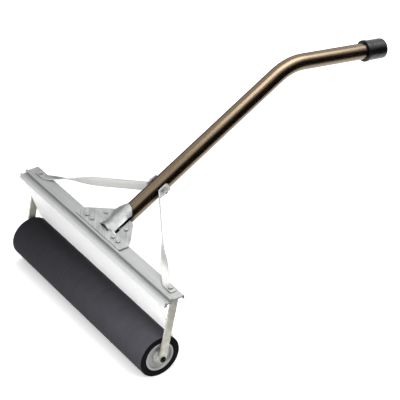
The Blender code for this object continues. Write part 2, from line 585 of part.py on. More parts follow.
def make_bracket(parent, aluminium):
    """Stamped plate: flat on the flange, wings tilted back, and a saddle raised over the tube."""
    front = RIDGE_REAR + 0.002
    back = RAIL_REAR + BRACKET_REACH
    half_sheet = BRACKET_THICKNESS / 2
    path = [(front, bracket_plane(front, half_sheet)), (RAIL_REAR, bracket_plane(RAIL_REAR, half_sheet)),
            (back, bracket_plane(back, half_sheet))]
    plate = prism(strip_outline(path, BRACKET_THICKNESS), "X", -BRACKET_HALF_WIDTH, BRACKET_HALF_WIDTH)
    bracket = solid("handle_bracket", plate, aluminium, parent)
    saddle_turn = (HANDLE_RISE, 0, 0)
    saddle = solid("saddle.helper", saddle_sleeve(SADDLE_RADIUS, -0.040, SADDLE_BACK + 0.05), None, parent,
                   TUBE_START, saddle_turn)
    crest = RAIL_TOP + GAP + BRACKET_THICKNESS + MOUTH_RISE
    mouth_y = RAIL_REAR - MOUTH_INSET
    hood = solid("hood.helper", rod(SADDLE_RADIUS, (0, mouth_y, crest - SADDLE_RADIUS),
                                    (0, MOUTH_MEETING_Y + 0.003, crest - SADDLE_RADIUS), TUBE_SEGMENTS), None, parent)
    deep = RAIL_TOP - 0.16
    y_far = RAIL_REAR + 0.15
    lift = 0.001
    below = [(-0.05, deep), (-0.05, bracket_plane(0, lift)), (RAIL_REAR, bracket_plane(RAIL_REAR, lift)),
             (y_far, bracket_plane(y_far, lift)), (y_far, deep)]
    for helper in (saddle, hood):
        helper.hide_render = True
        helper.display_type = "WIRE"
        boolean(helper, "DIFFERENCE", prism(below, "X", -0.11, 0.11))
    boolean(saddle, "DIFFERENCE", block((-0.11, RAIL_REAR - 0.09, deep), (0.11, RAIL_REAR + SADDLE_FRONT, RAIL_TOP + 0.12)))
    level = bracket_plane(RAIL_REAR + SADDLE_BACK)
    lean = math.tan(SADDLE_END_LEAN)
    end = [(RAIL_REAR + SADDLE_BACK + (z - level) * lean, z) for z in (level - 0.03, level + 0.10)]
    end += [(y_far, level + 0.10), (y_far, level - 0.03)]
    boolean(saddle, "DIFFERENCE", prism(end, "X", -0.11, 0.11))
    for helper in (saddle, hood):
        join = bracket.modifiers.new("Union", "BOOLEAN")
        join.operation = "UNION"
        join.object = helper
    far = back + 0.03
    slope = (BRACKET_HALF_WIDTH - BRACKET_TIP_HALF_WIDTH) / BRACKET_REACH
    root = RAIL_REAR - 0.004
    for side in (-1, 1):
        tip = side * (BRACKET_TIP_HALF_WIDTH - slope * (far - back))
        start = side * (BRACKET_HALF_WIDTH + slope * 0.004)
        trim = [(start, root), (side * (BRACKET_HALF_WIDTH + 0.02), root), (side * (BRACKET_HALF_WIDTH + 0.02), far),
                (tip, far)]
        if tip * side < SADDLE_RADIUS + SADDLE_CLEARANCE:
            kept = side * (SADDLE_RADIUS + SADDLE_CLEARANCE)
            kept_y = back + (BRACKET_TIP_HALF_WIDTH - abs(kept)) / slope
            trim = trim[:3] + [(kept, far), (kept, kept_y)]
        boolean(bracket, "DIFFERENCE", prism(trim, "Z", RAIL_TOP - 0.02, RAIL_TOP + 0.08))
    hollow = TUBE_RADIUS + SADDLE_CLEARANCE
    boolean(bracket, "DIFFERENCE", saddle_sleeve(hollow, -0.0045, SADDLE_BACK + 0.06), TUBE_START, saddle_turn)
    boolean(bracket, "DIFFERENCE", rod(SADDLE_RADIUS - SADDLE_WALL, (0, mouth_y - 0.0005, crest - SADDLE_RADIUS),
                                       (0, MOUTH_MEETING_Y - 0.0005, crest - SADDLE_RADIUS), TUBE_SEGMENTS))
    slit_start = RAIL_REAR + BRACKET_SLIT_START
    slit = [(slit_start, bracket_plane(slit_start, -0.002)),
            (slit_start, bracket_plane(slit_start, BRACKET_THICKNESS + BRACKET_SLIT_RISE[0])),
            (far, bracket_plane(far, BRACKET_THICKNESS + BRACKET_SLIT_RISE[1])), (far, bracket_plane(far, -0.002))]
    boolean(bracket, "DIFFERENCE", prism(slit, "X", SADDLE_RADIUS / 2, SADDLE_RADIUS + BRACKET_SLIT))
    for side in (-1, 1):
        for x in BRACKET_BOLTS_X:
            start = (side * x, BOLT_ROW_Y, RAIL_TOP - 0.01)
            boolean(bracket, "DIFFERENCE", bolt_hole(SMALL_BOLT, start, (side * x, BOLT_ROW_Y, RAIL_TOP + 0.02)))
        seat, up = clamp_bolt_seat(side)
        boolean(bracket, "DIFFERENCE", bolt_hole(SMALL_BOLT, seat - up * 0.02, seat + up * 0.01))


def clamp_center():
    return TUBE_START + RISE_DIRECTION * CLAMP_STATION


def clamp_bolt_seat(side):
    """Where a clamp bolt's head meets the wing's upper face, and the bolt's direction."""
    center = clamp_center()
    up = Vector((0, -math.sin(BRACKET_TILT), math.cos(BRACKET_TILT)))
    at_y = center.y - math.sin(HANDLE_RISE) * 0.011
    top = BRACKET_THICKNESS / math.cos(BRACKET_TILT)
    return Vector((side * CLAMP_BOLT_X, at_y, bracket_plane(at_y, top))), up


def make_clamp(parent, aluminium):
    """Strap under the tube, with an ear bolted under each wing of the bracket."""
    center = clamp_center()
    half = CLAMP_WIDTH / 2
    turn = (HANDLE_RISE, 0, 0)
    strap = rod(SADDLE_RADIUS, (0, -half, 0), (0, half, 0), TUBE_SEGMENTS)
    clamp = solid("socket_clamp", strap, aluminium, parent, center, turn)
    wall = SADDLE_RADIUS - 0.0002
    boolean(clamp, "UNION", block((-wall, 0.0002 - half, -0.004), (wall, half - 0.0002, 0.030)), center, turn)
    y_near, y_far = center.y - 0.06, center.y + 0.06
    plane = [(y_near, bracket_plane(RAIL_REAR, -GAP) + (y_near - RAIL_REAR) * math.tan(BRACKET_TILT)),
             (y_far, bracket_plane(y_far, -GAP)), (y_far, RAIL_TOP + 0.12), (y_near, RAIL_TOP + 0.12)]
    boolean(clamp, "DIFFERENCE", prism(plane, "X", -0.08, 0.08))
    seat, up = clamp_bolt_seat(1)
    ear_top = Vector((0, seat.y, seat.z)) - up * (BRACKET_THICKNESS + GAP)
    tilt = (BRACKET_TILT, 0, 0)
    ear = block((-CLAMP_EAR, -half, -BRACKET_THICKNESS), (CLAMP_EAR, half, 0))
    boolean(clamp, "UNION", ear, ear_top, tilt)
    hollow = TUBE_RADIUS + SADDLE_CLEARANCE
    boolean(clamp, "DIFFERENCE", rod(hollow, (0, -0.03, 0), (0, 0.03, 0), TUBE_SEGMENTS), center, turn)
    boolean(clamp, "DIFFERENCE", block((-hollow, -0.03, 0), (hollow, 0.03, 0.04)), center, turn)
    for side in (-1, 1):
        seat, up = clamp_bolt_seat(side)
        boolean(clamp, "DIFFERENCE", bolt_hole(SMALL_BOLT, seat - up * 0.02, seat + up * 0.01))


def brace_stations():
    """Center line of the right brace, from the end of its foot to the end of its tab."""
    foot_z = RAIL_TOP + GAP + BRACE_THICKNESS / 2
    tab_x = TUBE_RADIUS + GAP + BRACE_THICKNESS / 2
    side_shift = Vector((tab_x, 0, 0))
    points = [(ARM_BOLT_X + BRACE_TOE, BOLT_ROW_Y, foot_z), (ARM_BOLT_X - BRACE_FOOT, BOLT_ROW_Y, foot_z),
              JOINT_POINT + side_shift - RISE_DIRECTION * BRACE_TAB_HALF,
              JOINT_POINT + side_shift + RISE_DIRECTION * BRACE_TAB_HALF]
    steps = 6
    path = rounded_path(points, BRACE_BEND_RADII, steps)
    (start, along), (end, _) = path[steps + 1], path[steps + 2]
    between = [(start.lerp(end, i / 11), along) for i in range(1, 11)]
    toe = (path[0][0] + path[0][1] * BRACE_FOOT_WIDTH * 0.2, path[0][1])
    tail = (path[-1][0] - path[-1][1] * BRACE_WIDTH * 0.2, path[-1][1])
    return [path[0], toe] + path[1:steps + 2] + between + path[steps + 2:-1] + [tail, path[-1]]


def brace_rings(side):
    """Sections of the bar, flat at the foot and turned upright well before the tab."""
    path = brace_stations()
    run = 0.0
    rings = []
    for i, (point, tangent) in enumerate(path):
        if i:
            run += (point - path[i - 1][0]).length
        share = min(1.0, max(0.0, (run - BRACE_TWIST[0]) / (BRACE_TWIST[1] - BRACE_TWIST[0])))
        turn = math.pi / 2 * share * share * (3 - 2 * share)
        upright = (Vector((0, 0, 1)) - tangent * tangent.z).normalized()
        level = upright.cross(tangent)
        wide = level * math.cos(turn) + upright * math.sin(turn)
        thick = tangent.cross(wide)
        half = (BRACE_FOOT_WIDTH + (BRACE_WIDTH - BRACE_FOOT_WIDTH) * share) / 2
        half *= 0.6 if i in (0, len(path) - 1) else 1.0
        flat = BRACE_THICKNESS / 2
        cut = BRACE_CHAMFER
        outline = [(half, flat - cut), (half - cut, flat), (0, flat), (cut - half, flat), (-half, flat - cut),
                   (-half, cut - flat), (cut - half, -flat), (0, -flat), (half - cut, -flat), (half, cut - flat)]
        ring = [point + wide * a + thick * b for a, b in outline]
        rings.append([(side * p.x, p.y, p.z) for p in ring])
    return rings


def make_braces(parent, aluminium):
    for side, word in ((-1, "left"), (1, "right")):
        brace = solid(f"brace_{word}", stack(brace_rings(side)), aluminium, parent, smooth_angle=0.6)
        x = side * ARM_BOLT_X
        boolean(brace, "DIFFERENCE", bolt_hole(SMALL_BOLT, (x, BOLT_ROW_Y, RAIL_TOP - 0.01),
                                               (x, BOLT_ROW_Y, RAIL_TOP + 0.02)))
        near = JOINT_POINT + Vector((side * (TUBE_RADIUS - 0.01), 0, 0))
        boolean(brace, "DIFFERENCE", bolt_hole(CROSS_BOLT, near, near + Vector((side * 0.03, 0, 0))))


def make_fasteners(parent, steel):
    """Bolts with their heads on top and their nuts under the flange, and the cross bolt."""
    for side, word in ((-1, "left"), (1, "right")):
        under_flange = RAIL_TOP - FLANGE_THICKNESS - GAP
        jobs = [("arm", side * ARM_BOLT_X, BOLT_ROW_Y, RAIL_TOP + GAP + BRACE_THICKNESS,
                 under_flange - ARM_THICKNESS - GAP)]
        for number, x in enumerate(BRACKET_BOLTS_X, 1):
            jobs.append((f"bracket_{number}", side * x, BOLT_ROW_Y, RAIL_TOP + GAP + BRACKET_THICKNESS, under_flange))
        for job, x, y, seat, nut in jobs:
            seat += GAP
            hex_bolt(f"{job}_bolt_{word}", SMALL_HEX, seat - nut, steel, parent, (x, y, seat), (0, 0, 0))
            hex_nut(f"{job}_nut_{word}", SMALL_HEX, steel, parent, (x, y, nut), (0, 0, 0))
        seat, up = clamp_bolt_seat(side)
        tilt = (BRACKET_TILT, 0, 0)
        grip = 2 * BRACKET_THICKNESS + 3 * GAP
        hex_bolt(f"clamp_bolt_{word}", SMALL_HEX, grip, steel, parent, seat + up * GAP, tilt)
        hex_nut(f"clamp_nut_{word}", SMALL_HEX, steel, parent, seat - up * (grip - GAP), tilt)
        washer_in = TUBE_RADIUS + 2 * GAP + BRACE_THICKNESS
        hole = CROSS_BOLT / 2 + HOLE_CLEARANCE
        ring = [(washer_in, hole), (washer_in, CROSS_WASHER_DIAMETER / 2),
                (washer_in + CROSS_WASHER, CROSS_WASHER_DIAMETER / 2), (washer_in + CROSS_WASHER, hole)]
        solid(f"cross_washer_{word}", lathe([(side * x, r) for x, r in ring], 20), steel, parent, JOINT_POINT)
    seat = TUBE_RADIUS + 3 * GAP + BRACE_THICKNESS + CROSS_WASHER
    quarter = math.pi / 2
    hex_bolt("cross_bolt", CROSS_HEX, 2 * seat, steel, parent, JOINT_POINT + Vector((seat, 0, 0)), (0, quarter, 0))
    hex_nut("cross_nut", CROSS_HEX, steel, parent, JOINT_POINT - Vector((seat, 0, 0)), (0, quarter, 0))


def main():
    clear_scene()
    tool = empty("tool", (0, Y_SHIFT, 0))
    roller = empty("roller_spin", (0, 0, AXLE_Z), tool)
    foam = finish("black_foam", "3E3D42", 0.85, 0.0)
    core = finish("core_aluminium", "A9ABAB", 0.40, 1.0)
    plug = finish("grey_nylon", "8E8F8F", 0.50, 0.0)
    bearing = finish("white_acetal", "D8D8D2", 0.45, 0.0)
    mill = finish("mill_aluminium", "C6CAC9", 0.38, 1.0)
    bright = finish("bright_aluminium", "EEF0F0", 0.30, 1.0)
    arm = finish("arm_aluminium", "CFCDC3", 0.42, 1.0)
    anodised = finish("bronze_anodised", "6E5A45", 0.32, 1.0)
    vinyl = finish("black_vinyl", "1C1C1B", 0.45, 0.0)
    steel = finish("zinc_steel", "B9BBBB", 0.35, 1.0)
    black = finish("black_oxide_steel", "2A2A2A", 0.45, 1.0)
    make_roller(roller, foam, core, plug, bearing)
    make_axle(tool, steel, black, bearing)
    make_rail(tool, mill)
    make_guard(tool, bright)
    make_arms(tool, arm)
    make_handle(tool, anodised, vinyl)
    make_bracket(tool, mill)
    make_clamp(tool, mill)
    make_braces(tool, mill)
    make_fasteners(tool, steel)
    bpy.context.view_layer.update()


main()
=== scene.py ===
"""Visible pieces of a foam roller squeegee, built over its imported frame.

Every piece is made in metres from the axle outwards, with X along the roller, +Y towards the
handle and +Z up, and then shifted with the frame.
"""
import math

import bmesh
import bpy
from bpy.props import FloatProperty, FloatVectorProperty, PointerProperty
from mathutils import Matrix, Vector


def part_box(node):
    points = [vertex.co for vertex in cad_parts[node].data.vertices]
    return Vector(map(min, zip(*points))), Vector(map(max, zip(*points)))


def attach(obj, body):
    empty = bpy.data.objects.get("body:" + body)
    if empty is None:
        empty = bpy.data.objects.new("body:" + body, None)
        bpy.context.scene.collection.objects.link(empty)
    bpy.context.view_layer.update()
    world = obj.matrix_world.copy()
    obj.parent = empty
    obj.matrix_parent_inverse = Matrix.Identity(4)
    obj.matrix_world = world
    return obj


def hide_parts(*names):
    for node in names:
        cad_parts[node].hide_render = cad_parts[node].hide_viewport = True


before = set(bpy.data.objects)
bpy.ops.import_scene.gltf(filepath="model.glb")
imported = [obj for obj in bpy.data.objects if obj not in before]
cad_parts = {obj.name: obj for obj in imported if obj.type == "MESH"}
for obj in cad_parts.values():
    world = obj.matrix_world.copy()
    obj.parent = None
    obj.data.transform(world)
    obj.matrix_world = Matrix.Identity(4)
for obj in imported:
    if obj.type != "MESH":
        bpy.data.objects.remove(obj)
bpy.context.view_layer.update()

bl_info = {
    "name": "Roller Squeegee",
    "version": (1, 0, 0),
    "blender": (4, 5, 0),
    "location": "View3D > Sidebar > Squeegee",
    "description": "Builds the pieces, finishes and stage of a foam roller squeegee",
    "category": "Object",
}

# Where the frame puts the foam, its axle and the rail, and the hairline between fitted pieces
FOAM_LOW, FOAM_HIGH = (Vector(corner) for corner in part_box("foam_sleeve"))
SHIFT = (FOAM_LOW.y + FOAM_HIGH.y) / 2
AXLE_Z = (FOAM_LOW.z + FOAM_HIGH.z) / 2
RAIL_HIGH = Vector(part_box("rail_extrusion")[1])
GAP = 0.0003

# Small sizes in metres that go with a way of making and not with the tool's measure
TUBE_FIT = 0.00035  # from the tube to the sheet round it
TUBE_SETBACK = 0.0043  # from the rail's rear edge to the tube's end
EAR_HEIGHT = 0.011  # from the tube's middle line to the clamp's ears
NOSE_DROP = 0.0008  # from the rail's top to the start of its sloping face
GRIP_TOP = 0.004  # vinyl over the tube's end
PLUG_DEPTH = 0.030  # how far plugs and bushings reach into the core
CORNER_ROUND = 0.004  # corners of the bracket and the braces
BRACKET_BOLTS = (("bracket_1", 0.046), ("bracket_2", 0.068))  # from the middle

SIDES = ((-1, "left"), (1, "right"))
BOLT_POINTS = 48


def linear(code):
    """Linear RGB from an sRGB hex code."""
    channels = [int(code[i:i + 2], 16) / 255 for i in (0, 2, 4)]
    return tuple(c / 12.92 if c <= 0.04045 else ((c + 0.055) / 1.055) ** 2.4 for c in channels)


def length(name, default, description, low=0.0):
    return FloatProperty(name=name, default=default, description=description, min=low, unit="LENGTH",
                         precision=5)


def angle(name, degrees, description):
    return FloatProperty(name=name, default=math.radians(degrees), description=description, unit="ROTATION")


def power(name, default, description):
    return FloatProperty(name=name, default=default, description=description, min=0.0, unit="POWER")


def colour(name, code, description):
    return FloatVectorProperty(name=name, default=linear(code), description=description, subtype="COLOR",
                               size=3, min=0.0, max=1.0)


class RollerSettings(bpy.types.PropertyGroup):
    """Foam sleeve, core tube, end plugs and bushings"""
    diameter: length("Foam diameter", FOAM_HIGH.z - FOAM_LOW.z, "Outside of the foam sleeve")
    width: length("Foam length", FOAM_HIGH.x - FOAM_LOW.x, "Length of the foam sleeve")
    edge: length("Foam edge", 0.0016, "Radius that use has worn on the sleeve's ends")
    core: length("Core diameter", 0.076, "Outside of the core tube")
    core_wall: length("Core wall", 0.003, "Wall of the core tube")
    core_setback: length("Core setback", 0.002, "How far the core ends inside the foam")
    plug_flange: length("Plug flange", 0.002, "Plug's rim outside the core")
    plug_rim: length("Plug rim", 0.005, "Width of the plug's outer rim")
    plug_recess: length("Plug recess", 0.007, "Depth of the plug's dished ring")
    boss: length("Boss diameter", 0.034, "Plug's middle boss")
    boss_proud: length("Boss height", 0.0025, "How far the boss stands out of the foam")
    bushing: length("Bushing diameter", 0.018, "Bushing inside the boss")
    bushing_flange: length("Bushing flange", 0.024, "Diameter of the bushing's flange")
    bushing_rim: length("Flange thickness", 0.0015, "Thickness of the bushing's flange")
    foam_colour: colour("Foam", "424146", "Skin of the foam")
    foam_cut: colour("Foam ends", "0B0B0C", "Cut ends of the foam")
    plug_colour: colour("Plug", "A3A3A2", "Moulded end plugs")
    bushing_colour: colour("Bushing", "B9B8B1", "Bushings and axle washers")


class AxleSettings(bpy.types.PropertyGroup):
    """Fixed axle, its washers and screws"""
    diameter: length("Axle diameter", 0.012, "Diameter of the axle")
    washer: length("Washer diameter", 0.020, "Diameter of the axle washers")
    washer_wall: length("Washer thickness", 0.003, "Thickness of the axle washers")
    screw: length("Screw diameter", 0.008, "Thread of the axle screws")
    screw_head: length("Screw head", 0.016, "Diameter of the screws' button heads")
    screw_rise: length("Head height", 0.0045, "Height of the screws' button heads")
    screw_socket: length("Socket", 0.006, "Across the flats of the screws' sockets")
    screw_length: length("Screw length", 0.028, "Length of the screws under their heads")
    screw_colour: colour("Screw", "24231F", "Black oxide on the axle screws")


class RailSettings(bpy.types.PropertyGroup):
    """Extruded rail and the guard sheet in its slot"""
    rear: length("Rear edge", 0.050, "Rail's rear edge behind the axle")
    flange: length("Flange", 0.0035, "Thickness of the rail's flange")
    lip: length("Lip depth", 0.010, "Depth of the rear lip")
    lip_wall: length("Lip thickness", 0.003, "Thickness of the rear lip")
    ridge_y: length("Ridge place", 0.0155, "Ridge's middle behind the axle")
    ridge_radius: length("Ridge radius", 0.0035, "Radius of the ridge")
    ridge_rise: length("Ridge rise", 0.001, "How far the ridge's middle stands over the flange")
    groove: length("Groove width", 0.0115, "Width of the groove in front of the ridge")
    groove_depth: length("Groove depth", 0.0045, "Depth of the groove in front of the ridge")
    wall: length("Wall", 0.003, "Wall under the groove")
    nose: length("Nose", -0.002, "Top of the nose behind the axle", -0.1)
    face: length("Face", 0.0127, "Length of the sloping face")
    lean: angle("Lean", 16.8, "Lean of the sloping face")
    slot_wall: length("Slot wall", 0.0022, "Walls beside the guard's slot")
    slot_depth: length("Slot depth", 0.0065, "Depth of the guard's slot")
    guard: length("Guard", 0.002, "Thickness of the guard sheet")
    hem: length("Hem", 0.0025, "Radius of the guard's rolled hem")
    guard_clearance: length("Guard clearance", 0.0045, "From the hem to the foam")
    guard_foot: angle("Guard foot", 31.0, "Hem's place round the roller")
    guard_ends: length("Guard ends", 0.002, "From the guard's ends to the arms")
    bolt_inset: length("Bolt inset", 0.01375, "From the rail's rear edge to its row of bolts")
    rail_colour: colour("Rail", "C3C5C4", "Extruded aluminium")
    guard_colour: colour("Guard", "FBFCFB", "Bright guard sheet")


class ArmSettings(bpy.types.PropertyGroup):
    """The two end arms"""
    width: length("Width", 0.020, "Width of the arms")
    thickness: length("Thickness", 0.005, "Thickness of the arms")
    shoulder_drop: length("Shoulder", 0.0045, "From the rail's lip down to the arm's shoulder")
    tab: length("Tab width", 0.018, "Width of the tab under the rail")
    tab_length: length("Tab length", 0.040, "Reach of the tab from the arm's outer face")
    bend: length("Bend radius", 0.006, "Outer radius of the tab's bend")
    bolt_inset: length("Bolt inset", 0.019, "From the arm's outer face to its bolt")
    arm_colour: colour("Arm", "CBC9BC", "Flat aluminium bar")


class HandleSettings(bpy.types.PropertyGroup):
    """Tube, grip, bracket, clamp and braces"""
    tube: length("Tube diameter", 0.0413, "Outside of the tube")
    tube_wall: length("Tube wall", 0.002, "Wall of the tube")
    rise: angle("Rise", 28.0, "Slope of the tube's lower run")
    drop: angle("Drop", 10.3, "Slope of the tube's upper run")
    bend: length("Bend radius", 0.124, "Radius of the tube's bend")
    straight: length("Straight", 0.597, "Lower run up to the corner")
    end: length("End", 0.3065, "Corner to the grip's end")
    grip: length("Grip length", 0.063, "Length of the grip cap")
    grip_wall: length("Grip wall", 0.0052, "Wall of the grip cap")
    collar: length("Collar", 0.008, "Width of the grip's collar")
    collar_rise: length("Collar rise", 0.0014, "Height of the grip's collar")
    sheet: length("Bracket sheet", 0.003, "Thickness of the bracket and clamp")
    half_width: length("Half width", 0.097, "Half of the bracket's width at the rail")
    tip_half_width: length("Tip half width", 0.037, "Half of the bracket's width at its back")
    reach: length("Reach", 0.050, "Bracket's reach behind the rail")
    tilt: angle("Tilt", 10.5, "Slope of the bracket's wings")
    crest: length("Crest", 0.004, "Height of the saddle over the rail's rear edge")
    slit: length("Slit", 0.017, "Right wing's inner edge outside the saddle's round, where the slit starts")
    slit_back: length("Slit back", -0.002, "The same at the slit's open end", -0.003)
    slit_start: length("Slit start", -0.0040, "From the rail's rear edge to the slit", -0.02)
    skirt: length("Skirt", 0.030, "Saddle's free edge from the middle, where the slit starts")
    slit_low: length("Slit low end", 0.001, "Height of the saddle's free edge where the slit starts")
    slit_gain: FloatProperty(name="Slit gain", default=0.117, description="Rise of the saddle's free edge")
    saddle_front: length("Saddle front", 0.004, "From the rail's rear edge to the saddle's front")
    saddle_back: length("Saddle back", 0.0525, "Saddle's reach behind the rail")
    saddle_lean: angle("Saddle lean", 20.0, "Lean of the saddle's back edge")
    web: angle("Web", 30.0, "Slope of the web from the saddle down to the left wing")
    mouth_inset: length("Mouth inset", 0.0085, "From the rail's rear edge forward to the hood's mouth")
    mouth_rise: length("Mouth rise", 0.0103, "Height of the hood's crest over the bracket's flat")
    clamp_station: length("Clamp place", 0.018, "Clamp's middle along the tube")
    clamp_width: length("Clamp width", 0.018, "Width of the clamp strap")
    clamp_ear: length("Clamp ear", 0.052, "Half of the clamp's width over its ears")
    clamp_bolt: length("Clamp bolt", 0.044, "Clamp bolts from the middle")
    brace: length("Brace width", 0.025, "Width of the braces")
    brace_foot: length("Brace foot", 0.017, "Width of the braces' feet")
    brace_wall: length("Brace thickness", 0.003, "Thickness of the braces")
    joint: length("Joint", 0.154, "Cross bolt's place along the tube")
    tube_colour: colour("Tube", "7C6B56", "Bronze anodising")
    grip_colour: colour("Grip", "0E0E0D", "Dipped vinyl")
    bracket_colour: colour("Bracket", "CBCECD", "Stamped aluminium")
    brace_colour: colour("Brace", "D4D5D2", "Flat aluminium bar")


class FastenerSettings(bpy.types.PropertyGroup):
    """Hex bolts and nuts"""
    small: length("Small bolt", 0.006, "Thread of the small bolts")
    small_flats: length("Small flats", 0.010, "Across the flats of the small bolts")
    small_head: length("Small head", 0.004, "Head height of the small bolts")
    small_nut: length("Small nut", 0.005, "Height of the small nuts")
    cross: length("Cross bolt", 0.008, "Thread of the cross bolt")
    cross_flats: length("Cross flats", 0.013, "Across the flats of the cross bolt")
    cross_head: length("Cross head", 0.0053, "Head height of the cross bolt")
    cross_nut: length("Cross nut", 0.0065, "Height of the cross nut")
    stick_out: length("Stick-out", 0.0025, "How far the threads stand out of the nuts")
    washer: length("Washer", 0.016, "Diameter of the cross washers")
    washer_wall: length("Washer wall", 0.0016, "Thickness of the cross washers")
    steel_colour: colour("Zinc", "B9BCBD", "Zinc plating")


class StageSettings(bpy.types.PropertyGroup):
    """Floor, lights and camera"""
    distance: length("Camera distance", 3.4727, "From the camera to what it looks at")
    azimuth: angle("Camera azimuth", 54.6, "Turn of the camera round the tool")
    elevation: angle("Camera elevation", 35.0, "Camera above the horizon")
    lens: FloatProperty(name="Lens", default=150.43, description="Focal length in millimetres", min=1.0,
                        unit="CAMERA")
    key: power("Key light", 10.5, "Softbox at the right")
    fill: power("Fill light", 9.0, "Softbox at the back")
    front: power("Front light", 30.0, "Softbox in front, for all but the foam")
    foam: power("Foam light", 10.5, "The same for the foam alone")
    foam_top: power("Foam top light", 1.8, "Small softbox over the foam's right end")
    world: FloatProperty(name="Sky", default=0.06, description="Light from all round", min=0.0)
    floor_lift: FloatProperty(name="Floor lift", default=0.95, description="White seen on the floor",
                              min=0.0, max=1.0, subtype="FACTOR")
    floor_colour: colour("Floor", "FFFFFF", "Pale studio floor")


GROUPS = {"roller": RollerSettings, "axle": AxleSettings, "rail": RailSettings, "arm": ArmSettings,
          "handle": HandleSettings, "fastener": FastenerSettings, "stage": StageSettings}


def settings(name):
    return getattr(bpy.context.scene, f"squeegee_{name}")


# Shapes

def circle(radius, count):
    turns = [math.tau * i / count for i in range(count)]
    return [(radius * math.cos(turn), radius * math.sin(turn)) for turn in turns]


def arc(center, radius, start, end, steps):
    """Points of an arc in radians, both ends included."""
    turns = [start + (end - start) * i / steps for i in range(steps + 1)]
    return [(center[0] + radius * math.cos(t), center[1] + radius * math.sin(t)) for t in turns]


def rounded(outline, radius, steps=4, closed=True):
    """An outline with each corner rounded. A radius for each corner can be given as a list.

    A round takes at most 0.45 of a side, and corners flatter than 0.05 radians stay.
    """
    points = [Vector(p) for p in outline]
    count = len(points)
    radii = radius if isinstance(radius, (list, tuple)) else [radius] * count
    result = []
    for i, (corner, size) in enumerate(zip(points, radii)):
        before = points[i - 1] - corner
        after = points[(i + 1) % count] - corner
        turn = math.pi - before.angle(after, math.pi)
        if size <= 0 or turn < 0.05 or not closed and i in (0, count - 1):
            result.append(tuple(corner))
            continue
        reach = min(size * math.tan(turn / 2), before.length * 0.45, after.length * 0.45)
        start = corner + before.normalized() * reach
        end = corner + after.normalized() * reach
        for k in range(steps + 1):
            t = k / steps
            result.append(tuple(start * (1 - t) ** 2 + corner * 2 * t * (1 - t) + end * t ** 2))
    return result


def bent_path(points, radii, steps):
    """Stations along a path with an arc at each inner corner, as (point, direction) pairs."""
    points = [Vector(p) for p in points]
    path = [(points[0], (points[1] - points[0]).normalized())]
    for before, corner, after, radius in zip(points, points[1:], points[2:], radii):
        into = (corner - before).normalized()
        out = (after - corner).normalized()
        turn = into.angle(out)
        start = corner - into * radius * math.tan(turn / 2)
        inward = (out - into * into.dot(out)).normalized()
        center = start + inward * radius
        for i in range(steps + 1):
            t = turn * i / steps
            path.append((center + (into * math.sin(t) - inward * math.cos(t)) * radius,
                         into * math.cos(t) + inward * math.sin(t)))
    path.append((points[-1], (points[-1] - points[-2]).normalized()))
    return path


def skin(rings, looped=False, weld=0.0):
    """A bmesh over rings of equal counts, with caps, or closed on itself if looped."""
    shape = bmesh.new()
    loops = [[shape.verts.new(point) for point in ring] for ring in rings]
    pairs = list(zip(loops, loops[1:]))
    if looped:
        pairs.append((loops[-1], loops[0]))
    for lower, upper in pairs:
        for i in range(len(lower)):
            j = (i + 1) % len(lower)
            shape.faces.new((lower[i], lower[j], upper[j], upper[i]))
    if not looped:
        shape.faces.new(loops[0])
        shape.faces.new(loops[-1])
    if weld:
        bmesh.ops.remove_doubles(shape, verts=shape.verts, dist=weld)
    return shape


def lathe(profile, count, looped=True):
    """A profile of (x, radius) points spun about X. Points on the axis end it."""
    rings = [[(x, y, z) for y, z in circle(max(r, 1e-6), count)] for x, r in profile]
    return skin(rings, looped, weld=5e-6)


def turned(shape, matrix):
    bmesh.ops.transform(shape, matrix=matrix, verts=shape.verts)
    return shape


def piece(name, shape, finishes, node, at=(0, 0, 0), body="frame", sharp=0.6, mend=True):
    """Makes an object from a bmesh, shifts it with the frame, hangs it on its body and hides the frame's
    node that it stands for.
    """
    if mend:
        bmesh.ops.recalc_face_normals(shape, faces=shape.faces)
    mesh = bpy.data.meshes.new(name)
    shape.to_mesh(mesh)
    shape.free()
    mesh.shade_smooth()
    mesh.set_sharp_from_angle(angle=sharp)
    for maker in finishes:
        mesh.materials.append(surface(maker))
    made = bpy.data.objects.new(name, mesh)
    made.location = (at[0], at[1] + SHIFT, at[2])
    bpy.context.scene.collection.objects.link(made)
    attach(made, body)
    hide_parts(node)
    return made


def spun(name, profile, count, maker, node, side=1, body="frame", at=(0, 0, AXLE_Z)):
    """A piece turned from a profile for the right side, about the axle where no place is given."""
    return piece(name, lathe([(side * x, r) for x, r in profile], count), [maker], node, at, body)


def eased(made, width, segments=2, limit=0.6):
    """Rounds a piece's edges, as deburring or tumbling does."""
    modifier = made.modifiers.new("Eased edges", "BEVEL")
    modifier.width = width
    modifier.segments = segments
    modifier.limit_method = "ANGLE"
    modifier.angle_limit = limit
    modifier.harden_normals = True
    modifier.miter_outer = "MITER_ARC"


def thickened(made, wall):
    modifier = made.modifiers.new("Sheet", "SOLIDIFY")
    modifier.thickness = wall
    modifier.offset = -1.0
    modifier.use_even_offset = True


# Finishes

def feed(tree, node, inputs):
    """Sets a node's inputs, each to a number, a colour, a socket, or another node's first output."""
    for key, value in inputs.items():
        socket = node.inputs[key]
        if isinstance(value, bpy.types.Node):
            value = next(out for out in value.outputs if out.enabled)
        if isinstance(value, bpy.types.NodeSocket):
            tree.links.new(value, socket)
        elif socket.type == "RGBA":
            socket.default_value = (*value[:3], 1.0)
        else:
            socket.default_value = value


def add(tree, kind, inputs, **values):
    """Adds a shader node with its settings and links."""
    node = tree.nodes.new(f"ShaderNode{kind}")
    for name, value in values.items():
        setattr(node, name, value)
    feed(tree, node, inputs)
    return node


def scaled(shade, factor):
    return tuple(min(1.0, c * factor) for c in shade[:3])


